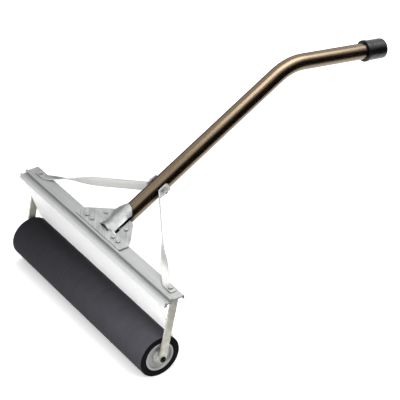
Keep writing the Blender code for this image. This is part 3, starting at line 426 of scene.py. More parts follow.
class Finish:
    """A material in the making, with a map in metres that its patterns follow."""

    def __init__(self, name, base):
        self.material = bpy.data.materials.new(name)
        self.material.use_nodes = True
        self.tree = self.material.node_tree
        self.shader = self.tree.nodes["Principled BSDF"]
        self.place = add(self.tree, "TexCoord", {}).outputs["Object"]
        self.base = base

    def streaks(self, axis, size, most=1.0, reach=60, turn=0.0):
        """Lines about size millimetres apart, as a die, a brush or a roll leaves them, turned about Z."""
        scale = [size / 1000 * (reach if name == axis else 1) for name in "XYZ"]
        inputs = {"Vector": self.place, "Scale": scale, "Rotation": (0.0, 0.0, turn)}
        run = add(self.tree, "Mapping", inputs, vector_type="TEXTURE")
        return self.patches(1000, most, 0.32, 0.68, run)

    def patches(self, size, most=1.0, low=0.38, high=0.62, place=None):
        """Soft patches about size millimetres wide, as handling, dye or settled dirt leaves them."""
        noise = add(self.tree, "TexNoise", {"Vector": place or self.place, "Scale": 1000 / size,
                                            "Detail": 4.0, "Roughness": 0.6})
        return add(self.tree, "MapRange", {0: noise, 1: low, 2: high, 4: most})

    def cells(self):
        """Foam cells. They are about half a millimetre and drawn at 1.3 mm, so that they show."""
        inputs = {"Vector": self.place, "Scale": 1000 / 1.3}
        return add(self.tree, "TexVoronoi", inputs).outputs["Distance"]

    def rubbed_and_lit_edges(self, radius, most):
        """Strong along sharp edges and nothing on faces: where rubbing has taken the skin off, and on
        moulded plastic as a painted highlight on the rims.
        """
        eased_normal = add(self.tree, "Bevel", {"Radius": radius}, samples=4)
        flat_normal = add(self.tree, "NewGeometry", {}).outputs["Normal"]
        both = add(self.tree, "VectorMath", {0: eased_normal, 1: flat_normal}, operation="DOT_PRODUCT")
        return add(self.tree, "MapRange", {0: both.outputs["Value"], 1: 0.995, 2: 0.80, 4: most})

    def shade_and_grime_in_hollows(self, reach, most):
        """Strong where other surfaces are near: painted shade in grooves and round bolts, with some grime
        and oxide.
        """
        openness = add(self.tree, "AmbientOcclusion", {"Distance": reach}, samples=12).outputs["AO"]
        return add(self.tree, "MapRange", {0: openness, 1: 0.85, 2: 0.45, 4: most})

    def coats(self, *layers):
        """Lays shades over the colour, each as strong as its share."""
        for share, shade in layers:
            self.base = add(self.tree, "Mix", {0: share, 6: self.base, 7: shade}, data_type="RGBA")
        feed(self.tree, self.shader, {"Base Color": self.base})
        return self.material

    def done(self, roughness, relief, depth, **sockets):
        """The material with its roughness, a relief so many metres deep and its other sockets.

        Roughness can be a pattern with the values at its weakest and strongest.
        """
        if isinstance(roughness, tuple):
            pattern, smooth_end, rough_end = roughness
            roughness = add(self.tree, "MapRange", {0: pattern, 3: smooth_end, 4: rough_end})
        bump = add(self.tree, "Bump", {"Height": relief, "Distance": depth})
        given = {name.replace("_", " "): value for name, value in sockets.items()}
        feed(self.tree, self.shader, {"Roughness": roughness, "Normal": bump, **given})
        return self.material


def drawn_aluminium(name, shade, axis, roughness, size=1.2, contrast=0.07, metallic=1.0, turn=0.0):
    """Aluminium with lines left by a die or a brush along one axis.

    The lines are tenths of a millimetre wide on the real bar and drawn near a millimetre here, so
    that they show. Handling leaves cloudy patches, the hollows are painted darker, as painted shade
    with some grime, and rubbing brightens the edges.
    """
    made = Finish(name, scaled(shade, 1 - contrast))
    lines = made.streaks(axis, size, turn=turn)
    clouds = made.patches(45, 0.6)
    made.coats((lines, scaled(shade, 1 + contrast)),
               (made.streaks(axis, size * 8, 0.6, turn=turn), scaled(shade, 1 - contrast * 1.3)),
               (clouds, shade),
               # painted shade with some grime: hollows darkened to 0.40 of the shade
               (made.shade_and_grime_in_hollows(0.010, 0.9), scaled(shade, 0.40)),
               (made.rubbed_and_lit_edges(0.0007, 0.4), scaled(shade, 1.25)))
    uneven = add(made.tree, "Math", {0: lines, 1: clouds}, operation="ADD")
    gloss = add(made.tree, "MapRange", {0: uneven, 2: 1.6, 3: roughness - 0.05, 4: roughness + 0.07})
    made.done(gloss, lines, 0.00003, Metallic=metallic)
    return made


def mill_extrusion():
    """Extruded aluminium as it leaves the die: soft grey sheen with fine lines along the rail."""
    shade = settings("rail").rail_colour
    return drawn_aluminium("extruded_aluminium_mill_finish", shade, "X", 0.40, 2.4, 0.13, 0.9).material


def bright_sheet():
    """Bright-rolled aluminium sheet under a clear matt lacquer: almost white, with faint rolling lines.

    The lacquer scatters most of the light, so the sheet shows pale and not as a mirror of the foam.
    It is painted darker towards the rail, as painted shade, so that it shows brightest towards its hem.
    """
    shade = settings("rail").guard_colour
    made = drawn_aluminium("lacquered_bright_aluminium_sheet", shade, "X", 0.50, 2.0, 0.015, 0.05)
    height = add(made.tree, "SeparateXYZ", {"Vector": made.place}).outputs["Z"]
    # painted shade: the higher the sheet stands towards the rail, the darker
    painted_shade_near_rail = add(made.tree, "MapRange", {0: height, 1: AXLE_Z + 0.055, 2: AXLE_Z + 0.160, 4: 0.24})
    feed(made.tree, made.shader, {"Coat Weight": 0.2, "Coat Roughness": 0.3})
    return made.coats((painted_shade_near_rail, (0.10, 0.10, 0.10)))


def arm_bar():
    """Drawn aluminium flat bar, aged to a warm cream grey, with lines and blots of dried dirt on it."""
    shade = settings("arm").arm_colour
    made = drawn_aluminium("drawn_aluminium_bar_aged", shade, "Z", 0.45, 2.0, 0.12, 0.5)
    return made.coats((made.patches(22, 0.75), scaled(shade, 0.62)))


def stamped_sheet():
    """Rolled aluminium sheet, stamped and tumbled: brush marks run aslant from the right to the back.

    The hood's lip is painted darker, as painted shade over the light that falls on it.
    """
    shade = settings("handle").bracket_colour
    made = drawn_aluminium("stamped_aluminium_sheet", shade, "Y", 0.48, 3.6, 0.36, 0.65, math.radians(55))
    top = Layout().rail_top
    at = add(made.tree, "SeparateXYZ", {"Vector": made.place}).outputs
    # painted shade on the hood's lip, near the mouth and above the flat
    back = add(made.tree, "MapRange", {0: at["Y"], 1: 0.068, 2: 0.050, 4: 0.75})
    high = add(made.tree, "MapRange", {0: at["Z"], 1: top + 0.0034, 2: top + 0.0058})
    painted_lip_shade = add(made.tree, "Math", {0: back, 1: high}, operation="MULTIPLY")
    return made.coats((painted_lip_shade, scaled(shade, 0.40)))


def brace_bar():
    """Drawn flat bar, paler than the rail, its lines along the bar."""
    shade = settings("handle").brace_colour
    return drawn_aluminium("drawn_aluminium_flat_bar", shade, "X", 0.48, 1.2, 0.06, 0.35).material


def core_metal():
    """Extruded core tube, plain mill finish."""
    return drawn_aluminium("extruded_aluminium_core", linear("A9ABAB"), "X", 0.42).material


def sawn_end():
    """Sawn end of an extrusion: duller than its faces, with the arcs that the blade left.

    The blade's marks are about half a millimetre apart and drawn at four, so that they show.
    """
    shade = scaled(settings("rail").rail_colour, 0.80)
    made = Finish("sawn_aluminium_end", shade)
    middle = add(made.tree, "Mapping", {"Vector": made.place, "Location": (0.0, 0.05, 0.12)})
    arcs = add(made.tree, "TexWave", {"Vector": middle, "Scale": 80.0, "Distortion": 1.5, "Detail": 2.0},
               wave_type="RINGS", rings_direction="X").outputs["Fac"]
    made.coats((arcs, scaled(shade, 1.18)))
    return made.done(0.5, arcs, 0.00006, Metallic=0.9)


def ground_foam():
    """Closed-cell rubber foam, ground round: matt charcoal with open cells and faint grinding rings.

    The left end is painted darker, as painted shade.
    """
    shade = settings("roller").foam_colour
    made = Finish("ground_closed_cell_foam", scaled(shade, 0.90))
    tree = made.tree
    pits = add(tree, "MapRange", {0: made.cells(), 2: 0.55, 3: 0.4, 4: 0.0})
    across = add(tree, "Mapping", {"Vector": made.place, "Scale": (1.0, 0.03, 0.03)})
    rings = made.patches(7, 0.35, place=across)
    soiled = made.patches(60)
    far = add(tree, "SeparateXYZ", {"Vector": made.place}).outputs["X"]
    # painted shade: darker towards the left end
    painted_shade_left_end = add(tree, "MapRange", {0: far, 1: -0.02, 2: -0.32, 4: 0.3})
    made.coats((soiled, scaled(shade, 1.12)), (rings, scaled(shade, 1.22)), (pits, scaled(shade, 0.50)),
               (painted_shade_left_end, scaled(shade, 0.25)))
    height = add(tree, "Math", {0: rings, 1: pits}, operation="SUBTRACT")
    return made.done((soiled, 0.80, 0.95), height, 0.0003, Specular_IOR_Level=0.12, IOR=1.45)


def cut_foam():
    """Knife-cut ends of the foam: almost black, partly from the open cells that hold the light and partly
    as painted shade.
    """
    shade = settings("roller").foam_cut
    made = Finish("knife_cut_foam_end", scaled(shade, 0.7))
    cells = made.cells()
    made.coats((cells, scaled(shade, 1.8)))
    return made.done(0.95, cells, 0.0002, Specular_IOR_Level=0.15, IOR=1.45)


def moulded_plastic(name, shade, roughness, ior):
    """Moulded thermoplastic: an even tone, a satin spark-eroded grain, and edges painted lighter: a painted
    highlight on the rims and a little pale dirt in the hollows.

    The grain is about 0.1 mm and drawn at 0.7 mm, so that it shows.
    """
    made = Finish(name, scaled(shade, 0.94))
    fine = made.patches(0.7)
    made.coats((made.patches(20), scaled(shade, 1.06)),
               # painted highlight on the rims, with a little pale dirt in the hollows
               (made.rubbed_and_lit_edges(0.0008, 0.35), scaled(shade, 1.3)))
    return made.done((fine, roughness - 0.05, roughness + 0.07), fine, 0.00003, IOR=ior)


def grey_nylon():
    """Grey nylon, moulded: satin, with a soft light on its rims."""
    return moulded_plastic("moulded_grey_nylon", settings("roller").plug_colour, 0.48, 1.53)


def white_acetal():
    """White acetal, turned: smoother and slightly waxy."""
    return moulded_plastic("turned_white_acetal", settings("roller").bushing_colour, 0.40, 1.48)


def dipped_vinyl():
    """Dip-moulded vinyl: black with a soft gloss, faint runs of the dip and rubbed edges."""
    shade = settings("handle").grip_colour
    made = Finish("dip_moulded_vinyl", scaled(shade, 0.8))
    fine = made.patches(1.1)
    made.coats((fine, scaled(shade, 1.25)), (made.rubbed_and_lit_edges(0.0012, 0.5), scaled(shade, 3.0)))
    return made.done((fine, 0.24, 0.34), made.patches(14), 0.0002, IOR=1.53)


def bronze_tube():
    """Drawn aluminium tube, bronze anodised: deep warm metal with drawing lines along it.

    Scuffs show as short pale marks where the tube is carried, and the dye is a little uneven. The
    lines follow the bend, by a map laid along the tube. The end in the bracket is painted almost
    black, as painted shade: near other surfaces and over its first 45 to 60 mm.
    """
    shade = settings("handle").tube_colour
    made = Finish("bronze_anodised_aluminium_tube", scaled(shade, 0.90))
    tree = made.tree
    made.place = add(tree, "UVMap", {}, uv_map="along_tube").outputs["UV"]
    lines = made.streaks("Y", 0.9, reach=90)
    broad = made.streaks("Y", 5.0, 0.6)
    along = add(tree, "SeparateXYZ", {"Vector": made.place}).outputs["Y"]
    # painted shade: the tube almost black near other surfaces and within 45 to 60 mm of its lower end
    socket = add(tree, "MapRange", {0: along, 1: 0.060, 2: 0.045})
    painted_shade_in_bracket = add(tree, "Math", {0: made.shade_and_grime_in_hollows(0.030, 1.4), 1: socket}, operation="MAXIMUM")
    carried = made.patches(120, 1.0, 0.50, 0.56)
    scuffs = add(tree, "Math", {0: made.streaks("Y", 3.0, 1.0, 9), 1: carried}, operation="MULTIPLY")
    marks = add(tree, "MapRange", {0: scuffs, 1: 0.90, 2: 1.0, 4: 0.25})
    made.coats((lines, scaled(shade, 1.10)), (broad, scaled(shade, 0.88)),
               (made.patches(70, 0.5), scaled(shade, 0.84)), (marks, linear("B9A88F")),
               (painted_shade_in_bracket, scaled(shade, 0.06)))
    return made.done((lines, 0.22, 0.32), broad, 0.00001, Metallic=1.0, Coat_Weight=0.4,
                     Coat_Roughness=0.25)


def zinc_steel():
    """Zinc-plated steel: cool grey with a faint straw and blue bloom from the passivation."""
    shade = settings("fastener").steel_colour
    made = Finish("zinc_plated_steel", linear("C3C0B4"))
    fine = made.patches(0.6, 0.35)
    made.coats((made.patches(6), shade), (fine, scaled(shade, 0.80)))
    gloss = add(made.tree, "MapRange", {0: fine, 2: 0.35, 3: 0.30, 4: 0.44})
    return made.done(gloss, fine, 0.00003, Metallic=0.9)


def black_oxide():
    """Black oxide on steel: oily near-black, thin and browner where it is rubbed."""
    shade = settings("axle").screw_colour
    made = Finish("black_oxide_steel", scaled(shade, 0.7))
    fine = made.patches(1.0)
    made.coats((fine, scaled(shade, 1.4)), (made.rubbed_and_lit_edges(0.0005, 0.6), linear("6B655C")))
    return made.done((fine, 0.34, 0.48), fine, 0.00002, Metallic=1.0)


def seen_rays(tree):
    """1 for camera, glossy and transmitted rays, and 0 for the light that falls on the tool."""
    seen = add(tree, "LightPath", {}).outputs
    first = add(tree, "Math", {0: seen["Is Camera Ray"], 1: seen["Is Glossy Ray"]}, operation="MAXIMUM")
    return add(tree, "Math", {0: first, 1: seen["Is Transmission Ray"]}, operation="MAXIMUM")


def studio_floor():
    """Matt painted studio floor.

    Camera, glossy and transmitted rays see more white on it, less so where the tool shades it.
    """
    s = settings("stage")
    made = Finish("matt_studio_floor", scaled(s.floor_colour, 0.99))
    tree = made.tree
    made.coats((made.patches(4), s.floor_colour))
    feed(tree, made.shader, {"Roughness": 0.9, "Specular IOR Level": 0.0})
    openness = add(tree, "AmbientOcclusion", {"Distance": 0.07}, samples=16).outputs["AO"]
    share = add(tree, "Math", {0: seen_rays(tree), 1: openness}, operation="MULTIPLY")
    strength = add(tree, "MapRange", {0: share, 4: s.floor_lift})
    lift = add(tree, "Emission", {"Color": (1.0, 1.0, 1.0), "Strength": strength})
    both = add(tree, "AddShader", {0: made.shader, 1: lift})
    feed(tree, tree.nodes["Material Output"], {"Surface": both})
    return made.material


def black_card():
    """Matt black card: nothing but a dark shape for the tube and the grip to mirror."""
    made = Finish("black_studio_card", (0.006, 0.006, 0.006))
    feed(made.tree, made.shader, {"Roughness": 1.0, "Specular IOR Level": 0.0})
    return made.coats((made.patches(3), (0.010, 0.010, 0.010)))


def white_card():
    """Lit white card over the tube: gives the bronze its broad pale band towards the bend."""
    made = Finish("lit_white_card", (0.0, 0.0, 0.0))
    glow = add(made.tree, "MapRange", {0: made.patches(300), 3: 5.6, 4: 6.4})
    feed(made.tree, made.shader, {"Specular IOR Level": 0.0, "Emission Color": (1.0, 1.0, 1.0),
                                  "Emission Strength": glow})
    return made.coats()


MADE = {}


def surface(maker):
    """Each finish is made once and shared."""
    if maker not in MADE:
        MADE[maker] = maker()
    return MADE[maker]


# Places worked out from the sizes

class Layout:
    """Stations, levels and directions that several pieces share."""

    def __init__(self):
        roller, axle, arm = (settings(name) for name in ("roller", "axle", "arm"))
        rail = self.rail = settings("rail")
        handle = self.handle = settings("handle")
        self.core_end = roller.width / 2 - roller.core_setback
        self.boss_out = roller.width / 2 + roller.boss_proud
        self.bushing_out = self.boss_out + GAP + roller.bushing_rim
        self.washer_out = self.bushing_out + GAP + axle.washer_wall
        self.arm_in = self.washer_out + GAP
        self.arm_out = self.arm_in + arm.thickness
        self.arm_bolt = self.arm_out - arm.bolt_inset
        self.bolt_row = rail.rear - rail.bolt_inset
        self.rail_top = RAIL_HIGH.z - rail.ridge_rise - rail.ridge_radius
        self.rise = Vector((0, math.cos(handle.rise), math.sin(handle.rise)))
        self.square = Vector((0, -math.sin(handle.rise), math.cos(handle.rise)))
        self.drop = Vector((0, math.cos(handle.drop), -math.sin(handle.drop)))
        self.saddle = handle.tube / 2 + TUBE_FIT + handle.sheet
        y = rail.rear + handle.tube / 2 * math.sin(handle.rise) + TUBE_SETBACK
        z = self.rail_top + GAP + handle.sheet + handle.crest - self.saddle / math.cos(handle.rise)
        self.tube_start = Vector((0, y, z + math.tan(handle.rise) * (y - rail.rear)))
        self.corner = self.tube_start + self.rise * handle.straight
        self.tip = self.corner + self.drop * handle.end
        self.joint = self.tube_start + self.rise * handle.joint
        self.clamp = self.tube_start + self.rise * handle.clamp_station

    def plate_z(self, y, above=0.0):
        """Height of the bracket's lower face at y, and so far above it."""
        return self.rail_top + GAP + above + max(0.0, y - self.rail.rear) * math.tan(self.handle.tilt)

    def clamp_seat(self, side):
        """Where a clamp bolt's head meets the wing, and the bolt's direction."""
        s = self.handle
        y = self.clamp.y - math.sin(s.rise) * EAR_HEIGHT
        seat = Vector((side * s.clamp_bolt, y, self.plate_z(y, s.sheet / math.cos(s.tilt))))
        return seat, Vector((0, -math.sin(s.tilt), math.cos(s.tilt)))

    def face_point(self, offset, down):
        """A point of the rail's sloping face: so far behind it, and so far down along it."""
        s = self.rail
        lean = Vector((-math.sin(s.lean), -math.cos(s.lean)))
        behind = Vector((math.cos(s.lean), -math.sin(s.lean)))
        return tuple(Vector((s.nose, self.rail_top - NOSE_DROP)) + behind * offset + lean * down)


# Threads and hex shapes stand on z = 0 of their own frame

def level(radius, z):
    return [(x, y, z) for x, y in circle(radius, BOLT_POINTS)]


def hexagon(flats):
    """Pairs of reach and turn round a hexagon."""
    side = math.pi / 6
    turns = [math.tau * i / BOLT_POINTS for i in range(BOLT_POINTS)]
    return [(flats / 2 / math.cos((turn + side) % (2 * side) - side), turn) for turn in turns]


def hex_rings(flats, low, high):
    """Rings of a hex body with both ends chamfered at 30 degrees."""
    face = flats * 0.47
    slope = math.tan(math.radians(30))
    rings = [[(r * math.cos(turn), r * math.sin(turn), z + sign * (r - face) * slope)
              for r, turn in hexagon(flats)] for z, sign in ((low, 1), (high, -1))]
    return [level(face, low), *rings, level(face, high)]


def thread_rings(diameter, pitch, top, bottom):
    """Rings of a threaded stem from its top down, six to a pitch, with a chamfered point."""
    steps = max(2, round((top - bottom) / (pitch / 6)))
    rings = []
    for k in range(steps + 1):
        z = top + (bottom - top) * k / steps
        ring = []
        for i in range(BOLT_POINTS):
            share = (z / pitch - i / BOLT_POINTS) % 1.0
            depth = pitch * 0.58 * (1 - abs(2 * share - 1))
            radius = min(diameter / 2 - depth, diameter / 2 - pitch * 0.7 + max(0.0, z - bottom))
            turn = math.tau * i / BOLT_POINTS
            ring.append((radius * math.cos(turn), radius * math.sin(turn), z))
        rings.append(ring)
    return rings


def bolt_shape(diameter, flats, head, nut, grip, pitch):
    """A hex bolt: washer face, chamfered head with a dished top, plain shank and a thread at its end."""
    past_grip = nut + settings("fastener").stick_out
    under = grip + past_grip + 2 * GAP
    dish = head * 0.94
    return skin([level(0.0, dish), level(flats * 0.30, dish), level(flats * 0.36, head),
                 *hex_rings(flats, 0.0004, head)[::-1],
                 level(flats * 0.46, 0.0), level(diameter / 2, 0.0),
                 *thread_rings(diameter, pitch, past_grip + 0.0015 - under, -under)], weld=1e-6)


def nut_shape(diameter, flats, height):
    """A hex nut below z = 0, with chamfered corners and a countersunk hole."""
    hole = diameter / 2 + GAP
    sink = 0.0004
    return skin([*hex_rings(flats, -height, 0.0)[::-1], level(hole + sink, -height),
                 level(hole, sink - height), level(hole, -sink), level(hole + sink, 0.0)], looped=True)


class FoamRoller(bpy.types.Operator):
    """Foam sleeve: slightly uneven where it was ground, with soft ends"""
    bl_idname = "squeegee.foam_roller"
    bl_label = "Foam Roller"

    def execute(self, context):
        s = settings("roller")
        half = s.width / 2
        radius = s.diameter / 2
        bore = s.core / 2 + GAP
        dish = 0.0003
        end = [(-half, bore), (-half + dish, bore + 0.006), (-half, radius - s.edge * 1.6)]
        end += [(-half + s.edge * (1 - math.cos(t)), radius - s.edge * (1 - math.sin(t)))
                for t in (math.pi / 2 * i / 6 for i in range(1, 7))]
        along = [(half * (2 * i / 80 - 1), radius) for i in range(2, 79)]
        shape = lathe(end + along + [(-x, r) for x, r in end[::-1]], 160)
        uneven = 0.00018
        for vert in shape.verts:
            x, y, z = vert.co
            r = math.hypot(y, z)
            if r < radius * 0.95:
                continue
            turn = math.atan2(z, y)
            wave = math.sin(3 * turn + x * 17) * math.cos(x * 41 + 1.3) * math.sin(2 * turn - x * 9)
            pull = 1 - uneven * (0.5 + 0.5 * wave) / r
            vert.co = (x, y * pull, z * pull)
        for face in shape.faces:
            x, y, z = face.calc_center_median()
            face.material_index = int(abs(x) > half - dish - 0.0001 and math.hypot(y, z) < radius - s.edge)
        made = piece("foam_roller", shape, [ground_foam, cut_foam], "foam_sleeve",
                     (0, 0, AXLE_Z), "roller")
        return {"FINISHED"}


class RollerCore(bpy.types.Operator):
    """Core tube, dished end plugs and flanged bushings"""
    bl_idname = "squeegee.roller_core"
    bl_label = "Roller Core"

    def execute(self, context):
        s = settings("roller")
        lay = Layout()
        end = lay.core_end
        core = s.core / 2
        inner = core - s.core_wall
        tube = rounded([(-end, inner), (-end, core), (end, core), (end, inner)], 0.0004, 2)
        spun("core_sleeve", tube, 96, core_metal, "core_tube", body="roller")
        out = end + GAP + s.plug_flange
        dish = out - s.plug_recess
        deep = end - PLUG_DEPTH
        hub = s.bushing / 2 + GAP
        plug = [(deep, hub), (deep, inner - GAP), (end + GAP, inner - GAP), (end + GAP, core), (out, core),
                (out, core - s.plug_rim), (dish, core - s.plug_rim - 0.0012), (dish, s.boss / 2 + 0.0008),
                (lay.boss_out, s.boss / 2 - 0.0010), (lay.boss_out, hub)]
        plug = rounded(plug, [0.0, 0.001, 0.0, 0.0, 0.0009, 0.0012, 0.0016, 0.0020, 0.0014, 0.0004], 5)
        run = settings("axle").diameter / 2 + GAP
        flange = lay.boss_out + GAP
        wide = s.bushing_flange / 2
        bushing = rounded([(deep, run), (deep, s.bushing / 2), (flange, s.bushing / 2), (flange, wide),
                           (lay.bushing_out, wide), (lay.bushing_out, run)], 0.0003, 3)
        for side, word in SIDES:
            spun(f"dished_plug_{word}", plug, 96, grey_nylon, f"end_plug_{word}", side,
                 "roller")
            spun(f"flanged_bushing_{word}", bushing, 64, white_acetal, f"bushing_{word}",
                 side, "roller")
        return {"FINISHED"}


class Axle(bpy.types.Operator):
    """Fixed axle with a washer and a button-head screw at each end"""
    bl_idname = "squeegee.axle"
    bl_label = "Axle"

    def execute(self, context):
        s = settings("axle")
        lay = Layout()
        radius = s.diameter / 2
        end = lay.washer_out
        chamfer = 0.0005
        rod = [(-end, s.screw / 2 + GAP), (-end, radius - chamfer), (chamfer - end, radius),
               (end - chamfer, radius), (end, radius - chamfer), (end, s.screw / 2 + GAP)]
        spun("axle_rod", rod, 48, zinc_steel, "axle")
        start = lay.bushing_out + GAP
        washer = rounded([(start, radius + GAP), (start, s.washer / 2), (end, s.washer / 2),
                          (end, radius + GAP)], 0.0004, 3)
        for side, word in SIDES:
            spun(f"spacer_{word}", washer, 64, white_acetal, f"axle_washer_{word}", side)
            shape = turned(self.screw(s), Matrix.Rotation(side * math.pi / 2, 4, "Y"))
            piece(f"button_screw_{word}", shape, [black_oxide], f"axle_screw_{word}",
                  (side * (lay.arm_out + GAP), 0, AXLE_Z))
        return {"FINISHED"}

    def screw(self, s):
        """Button head with a hex socket, over a threaded stem."""
        head = s.screw_head / 2
        rim = 0.0009
        dome = [(head * math.cos(t), rim + (s.screw_rise - rim) * math.sin(t))
                for t in (math.radians(d) for d in (0, 8, 18, 28, 38, 48, 56))]
        top = dome[-1][1]
        socket = ((0.0012, 0.0), (0.0014, 0.7), (0.0016, 1.0), (top - 0.0003, 1.0), (top, 1.08))
        rings = [[(r * reach * math.cos(turn), r * reach * math.sin(turn), z)
                  for reach, turn in hexagon(s.screw_socket)] for z, r in socket]
        rings += [level(r, z) for r, z in dome[::-1]]
        rings += [level(head - 0.0006, 0.0), level(s.screw / 2, 0.0)]
        return skin(rings + thread_rings(s.screw, 0.00125, -0.008, -s.screw_length), weld=1e-6)


class Rail(bpy.types.Operator):
    """Extruded rail: lip, flange, ridge, groove, sloping face and the guard's slot"""
    bl_idname = "squeegee.rail"
    bl_label = "Rail"

    def execute(self, context):
        s = settings("rail")
        lay = Layout()
        top = lay.rail_top
        face = lay.face_point
        slot = s.guard + 2 * GAP
        back = s.slot_wall * 2 + slot
        ridge_rear = s.ridge_y + s.ridge_radius
        groove_rear = s.ridge_y - s.ridge_radius
        groove_front = groove_rear - s.groove
        floor = top - s.groove_depth
        underside = floor - s.wall
        reach = (face(back, 0)[1] - underside) / math.cos(s.lean)
        ridge = arc((s.ridge_y, top + s.ridge_rise), s.ridge_radius, 0, math.pi, 20)
        corners = [((s.rear, top - s.lip), 0.0006), ((s.rear, top), 0.0020), ((ridge_rear, top), 0.0005),
                   *((point, 0.0) for point in ridge),
                   ((groove_rear, floor), 0.0012), ((groove_front, floor), 0.0012),
                   ((groove_front, top), 0.0007), (face(0, -0.0004), 0.0012),
                   (face(0, s.face), 0.0008), (face(s.slot_wall, s.face), 0.0004),
                   (face(s.slot_wall, s.face - s.slot_depth), 0.0003),
                   (face(s.slot_wall + slot, s.face - s.slot_depth), 0.0003),
                   (face(s.slot_wall + slot, s.face), 0.0004), (face(back, s.face), 0.0008),
                   (face(back, reach), 0.0015), ((s.ridge_y, underside), 0.0010),
                   ((ridge_rear, top - s.flange), 0.0010), ((s.rear - s.lip_wall, top - s.flange), 0.0012),
                   ((s.rear - s.lip_wall, top - s.lip), 0.0006)]
        outline = rounded(*zip(*corners), 4)
        half = RAIL_HIGH.x
        edge = 0.0003
        stations = ((-half, edge), (edge - half, 0.0), (half - edge, 0.0), (half, edge))
        shape = skin([[(x, y, z) for y, z in self.shrunk(outline, inset)] for x, inset in stations])
        for side in shape.faces:
            side.material_index = int(len(side.verts) > 4)
        piece("rail", shape, [mill_extrusion, sawn_end], "rail_extrusion", sharp=0.5)
        return {"FINISHED"}

    def shrunk(self, outline, inset):
        """The outline drawn inwards a little, for the deburred ends."""
        points = [Vector(p) for p in outline]
        area = sum(a.x * b.y - b.x * a.y for a, b in zip(points, points[1:] + points[:1]))
        sign = 1 if area > 0 else -1
        result = []
        for i, point in enumerate(points):
            step = (points[(i + 1) % len(points)] - points[i - 1]).normalized()
            result.append(tuple(point + Vector((-step.y, step.x)) * sign * inset))
        return result


class Guard(bpy.types.Operator):
    """Bright sheet from the rail's slot down to its rolled hem"""
    bl_idname = "squeegee.guard"
    bl_label = "Guard"

    def execute(self, context):
        s = settings("rail")
        lay = Layout()
        middle = s.slot_wall + GAP + s.guard / 2
        fold_drop, fold_radius = 0.0015, 0.004
        top = Vector(lay.face_point(middle, s.face - s.slot_depth + 2 * GAP))
        fold = Vector(lay.face_point(middle, s.face + fold_drop))
        reach = FOAM_HIGH.z - AXLE_Z + s.guard_clearance + s.hem
        foot = Vector((reach * math.sin(s.guard_foot), AXLE_Z + reach * math.cos(s.guard_foot)))
        path = [p for p, _ in bent_path([(*top, 0), (*fold, 0), (*foot, 0)], [fold_radius], 6)]
        sides = ([], [])
        for i, point in enumerate(path):
            step = (path[min(i + 1, len(path) - 1)] - path[max(i - 1, 0)]).normalized()
            normal = Vector((-step.y, step.x, 0))
            sides[0].append((point + normal * s.guard / 2)[:2])
            sides[1].append((point - normal * s.guard / 2)[:2])
        upward = (fold - foot).normalized()
        facing = math.atan2(upward.y, upward.x)
        open_half = math.asin(s.guard / 2 / s.hem)
        hem = arc(foot, s.hem, facing + open_half, facing + math.tau - open_half, 28)
        if math.dist(hem[0], sides[0][-2]) > math.dist(hem[-1], sides[0][-2]):
            hem.reverse()
        outline = sides[0][:-1] + hem + sides[1][:-1][::-1]
        half = lay.arm_in - s.guard_ends
        shape = skin([[(x, y, z) for y, z in outline] for x in (-half, half)])
        made = piece("guard", shape, [bright_sheet], "guard_sheet", sharp=0.5)
        eased(made, 0.0003, limit=1.2)
        made.visible_diffuse = False
        return {"FINISHED"}


class Arms(bpy.types.Operator):
    """End arms: flat bars that neck in and bend under the rail"""
    bl_idname = "squeegee.arms"
    bl_label = "Arms"

    def execute(self, context):
        s = settings("arm")
        rail = settings("rail")
        lay = Layout()
        tab_top = lay.rail_top - rail.flange - GAP
        shoulder = lay.rail_top - rail.lip - s.shoulder_drop
        axle = Vector((0, AXLE_Z))
        row = lay.bolt_row
        lean = math.atan2(row, shoulder - AXLE_Z)
        along = Vector((math.sin(lean), math.cos(lean)))
        across = Vector((math.cos(lean), -math.sin(lean)))
        half = s.width / 2
        start = tab_top - s.bend
        left, right = (axle + across * half * edge for edge in (-1, 1))
        left = left + along * ((shoulder - left.y) / along.y)
        right = right + along * ((shoulder - right.y) / along.y)
        lower = arc(axle, half, -lean, -lean - math.pi, 28)
        low_y, high_y = row - s.tab / 2, row + s.tab / 2
        neck = [0, 0.0015, 0.0015, 0]
        side_left = rounded([lower[-1], tuple(left), (low_y, shoulder), (low_y, start)], neck, closed=False)
        side_right = rounded([(high_y, start), (high_y, shoulder), tuple(right), lower[0]], neck,
                             closed=False)
        outline = side_right + lower[1:-1] + side_left
        end = lay.arm_out - s.tab_length
        tab = [(x, z, 0.0) for x, z in arc((lay.arm_out - s.bend, start), s.bend, 0, math.pi / 2, 8)[1:]]
        tab += [(end + 0.004, tab_top, 0.0), (end + 0.0015, tab_top, 0.0004), (end, tab_top, 0.003)]
        for side, word in SIDES:
            shape = bmesh.new()
            verts = [shape.verts.new((side * lay.arm_out, y, z)) for y, z in outline]
            shape.faces.new(verts)
            edge = [verts[0], verts[-1]]
            for x, z, pinch in tab:
                new = [shape.verts.new((side * x, y, z)) for y in (high_y - pinch, low_y + pinch)]
                shape.faces.new((edge[0], edge[1], new[1], new[0]))
                edge = new
            bmesh.ops.recalc_face_normals(shape, faces=shape.faces)
            if max(shape.faces, key=lambda f: f.calc_area()).normal.x * side < 0:
                bmesh.ops.reverse_faces(shape, faces=shape.faces)
            made = piece(f"end_arm_{word}", shape, [arm_bar], f"arm_{word}", mend=False)
            thickened(made, s.thickness)
            eased(made, 0.0006, 3)
        return {"FINISHED"}


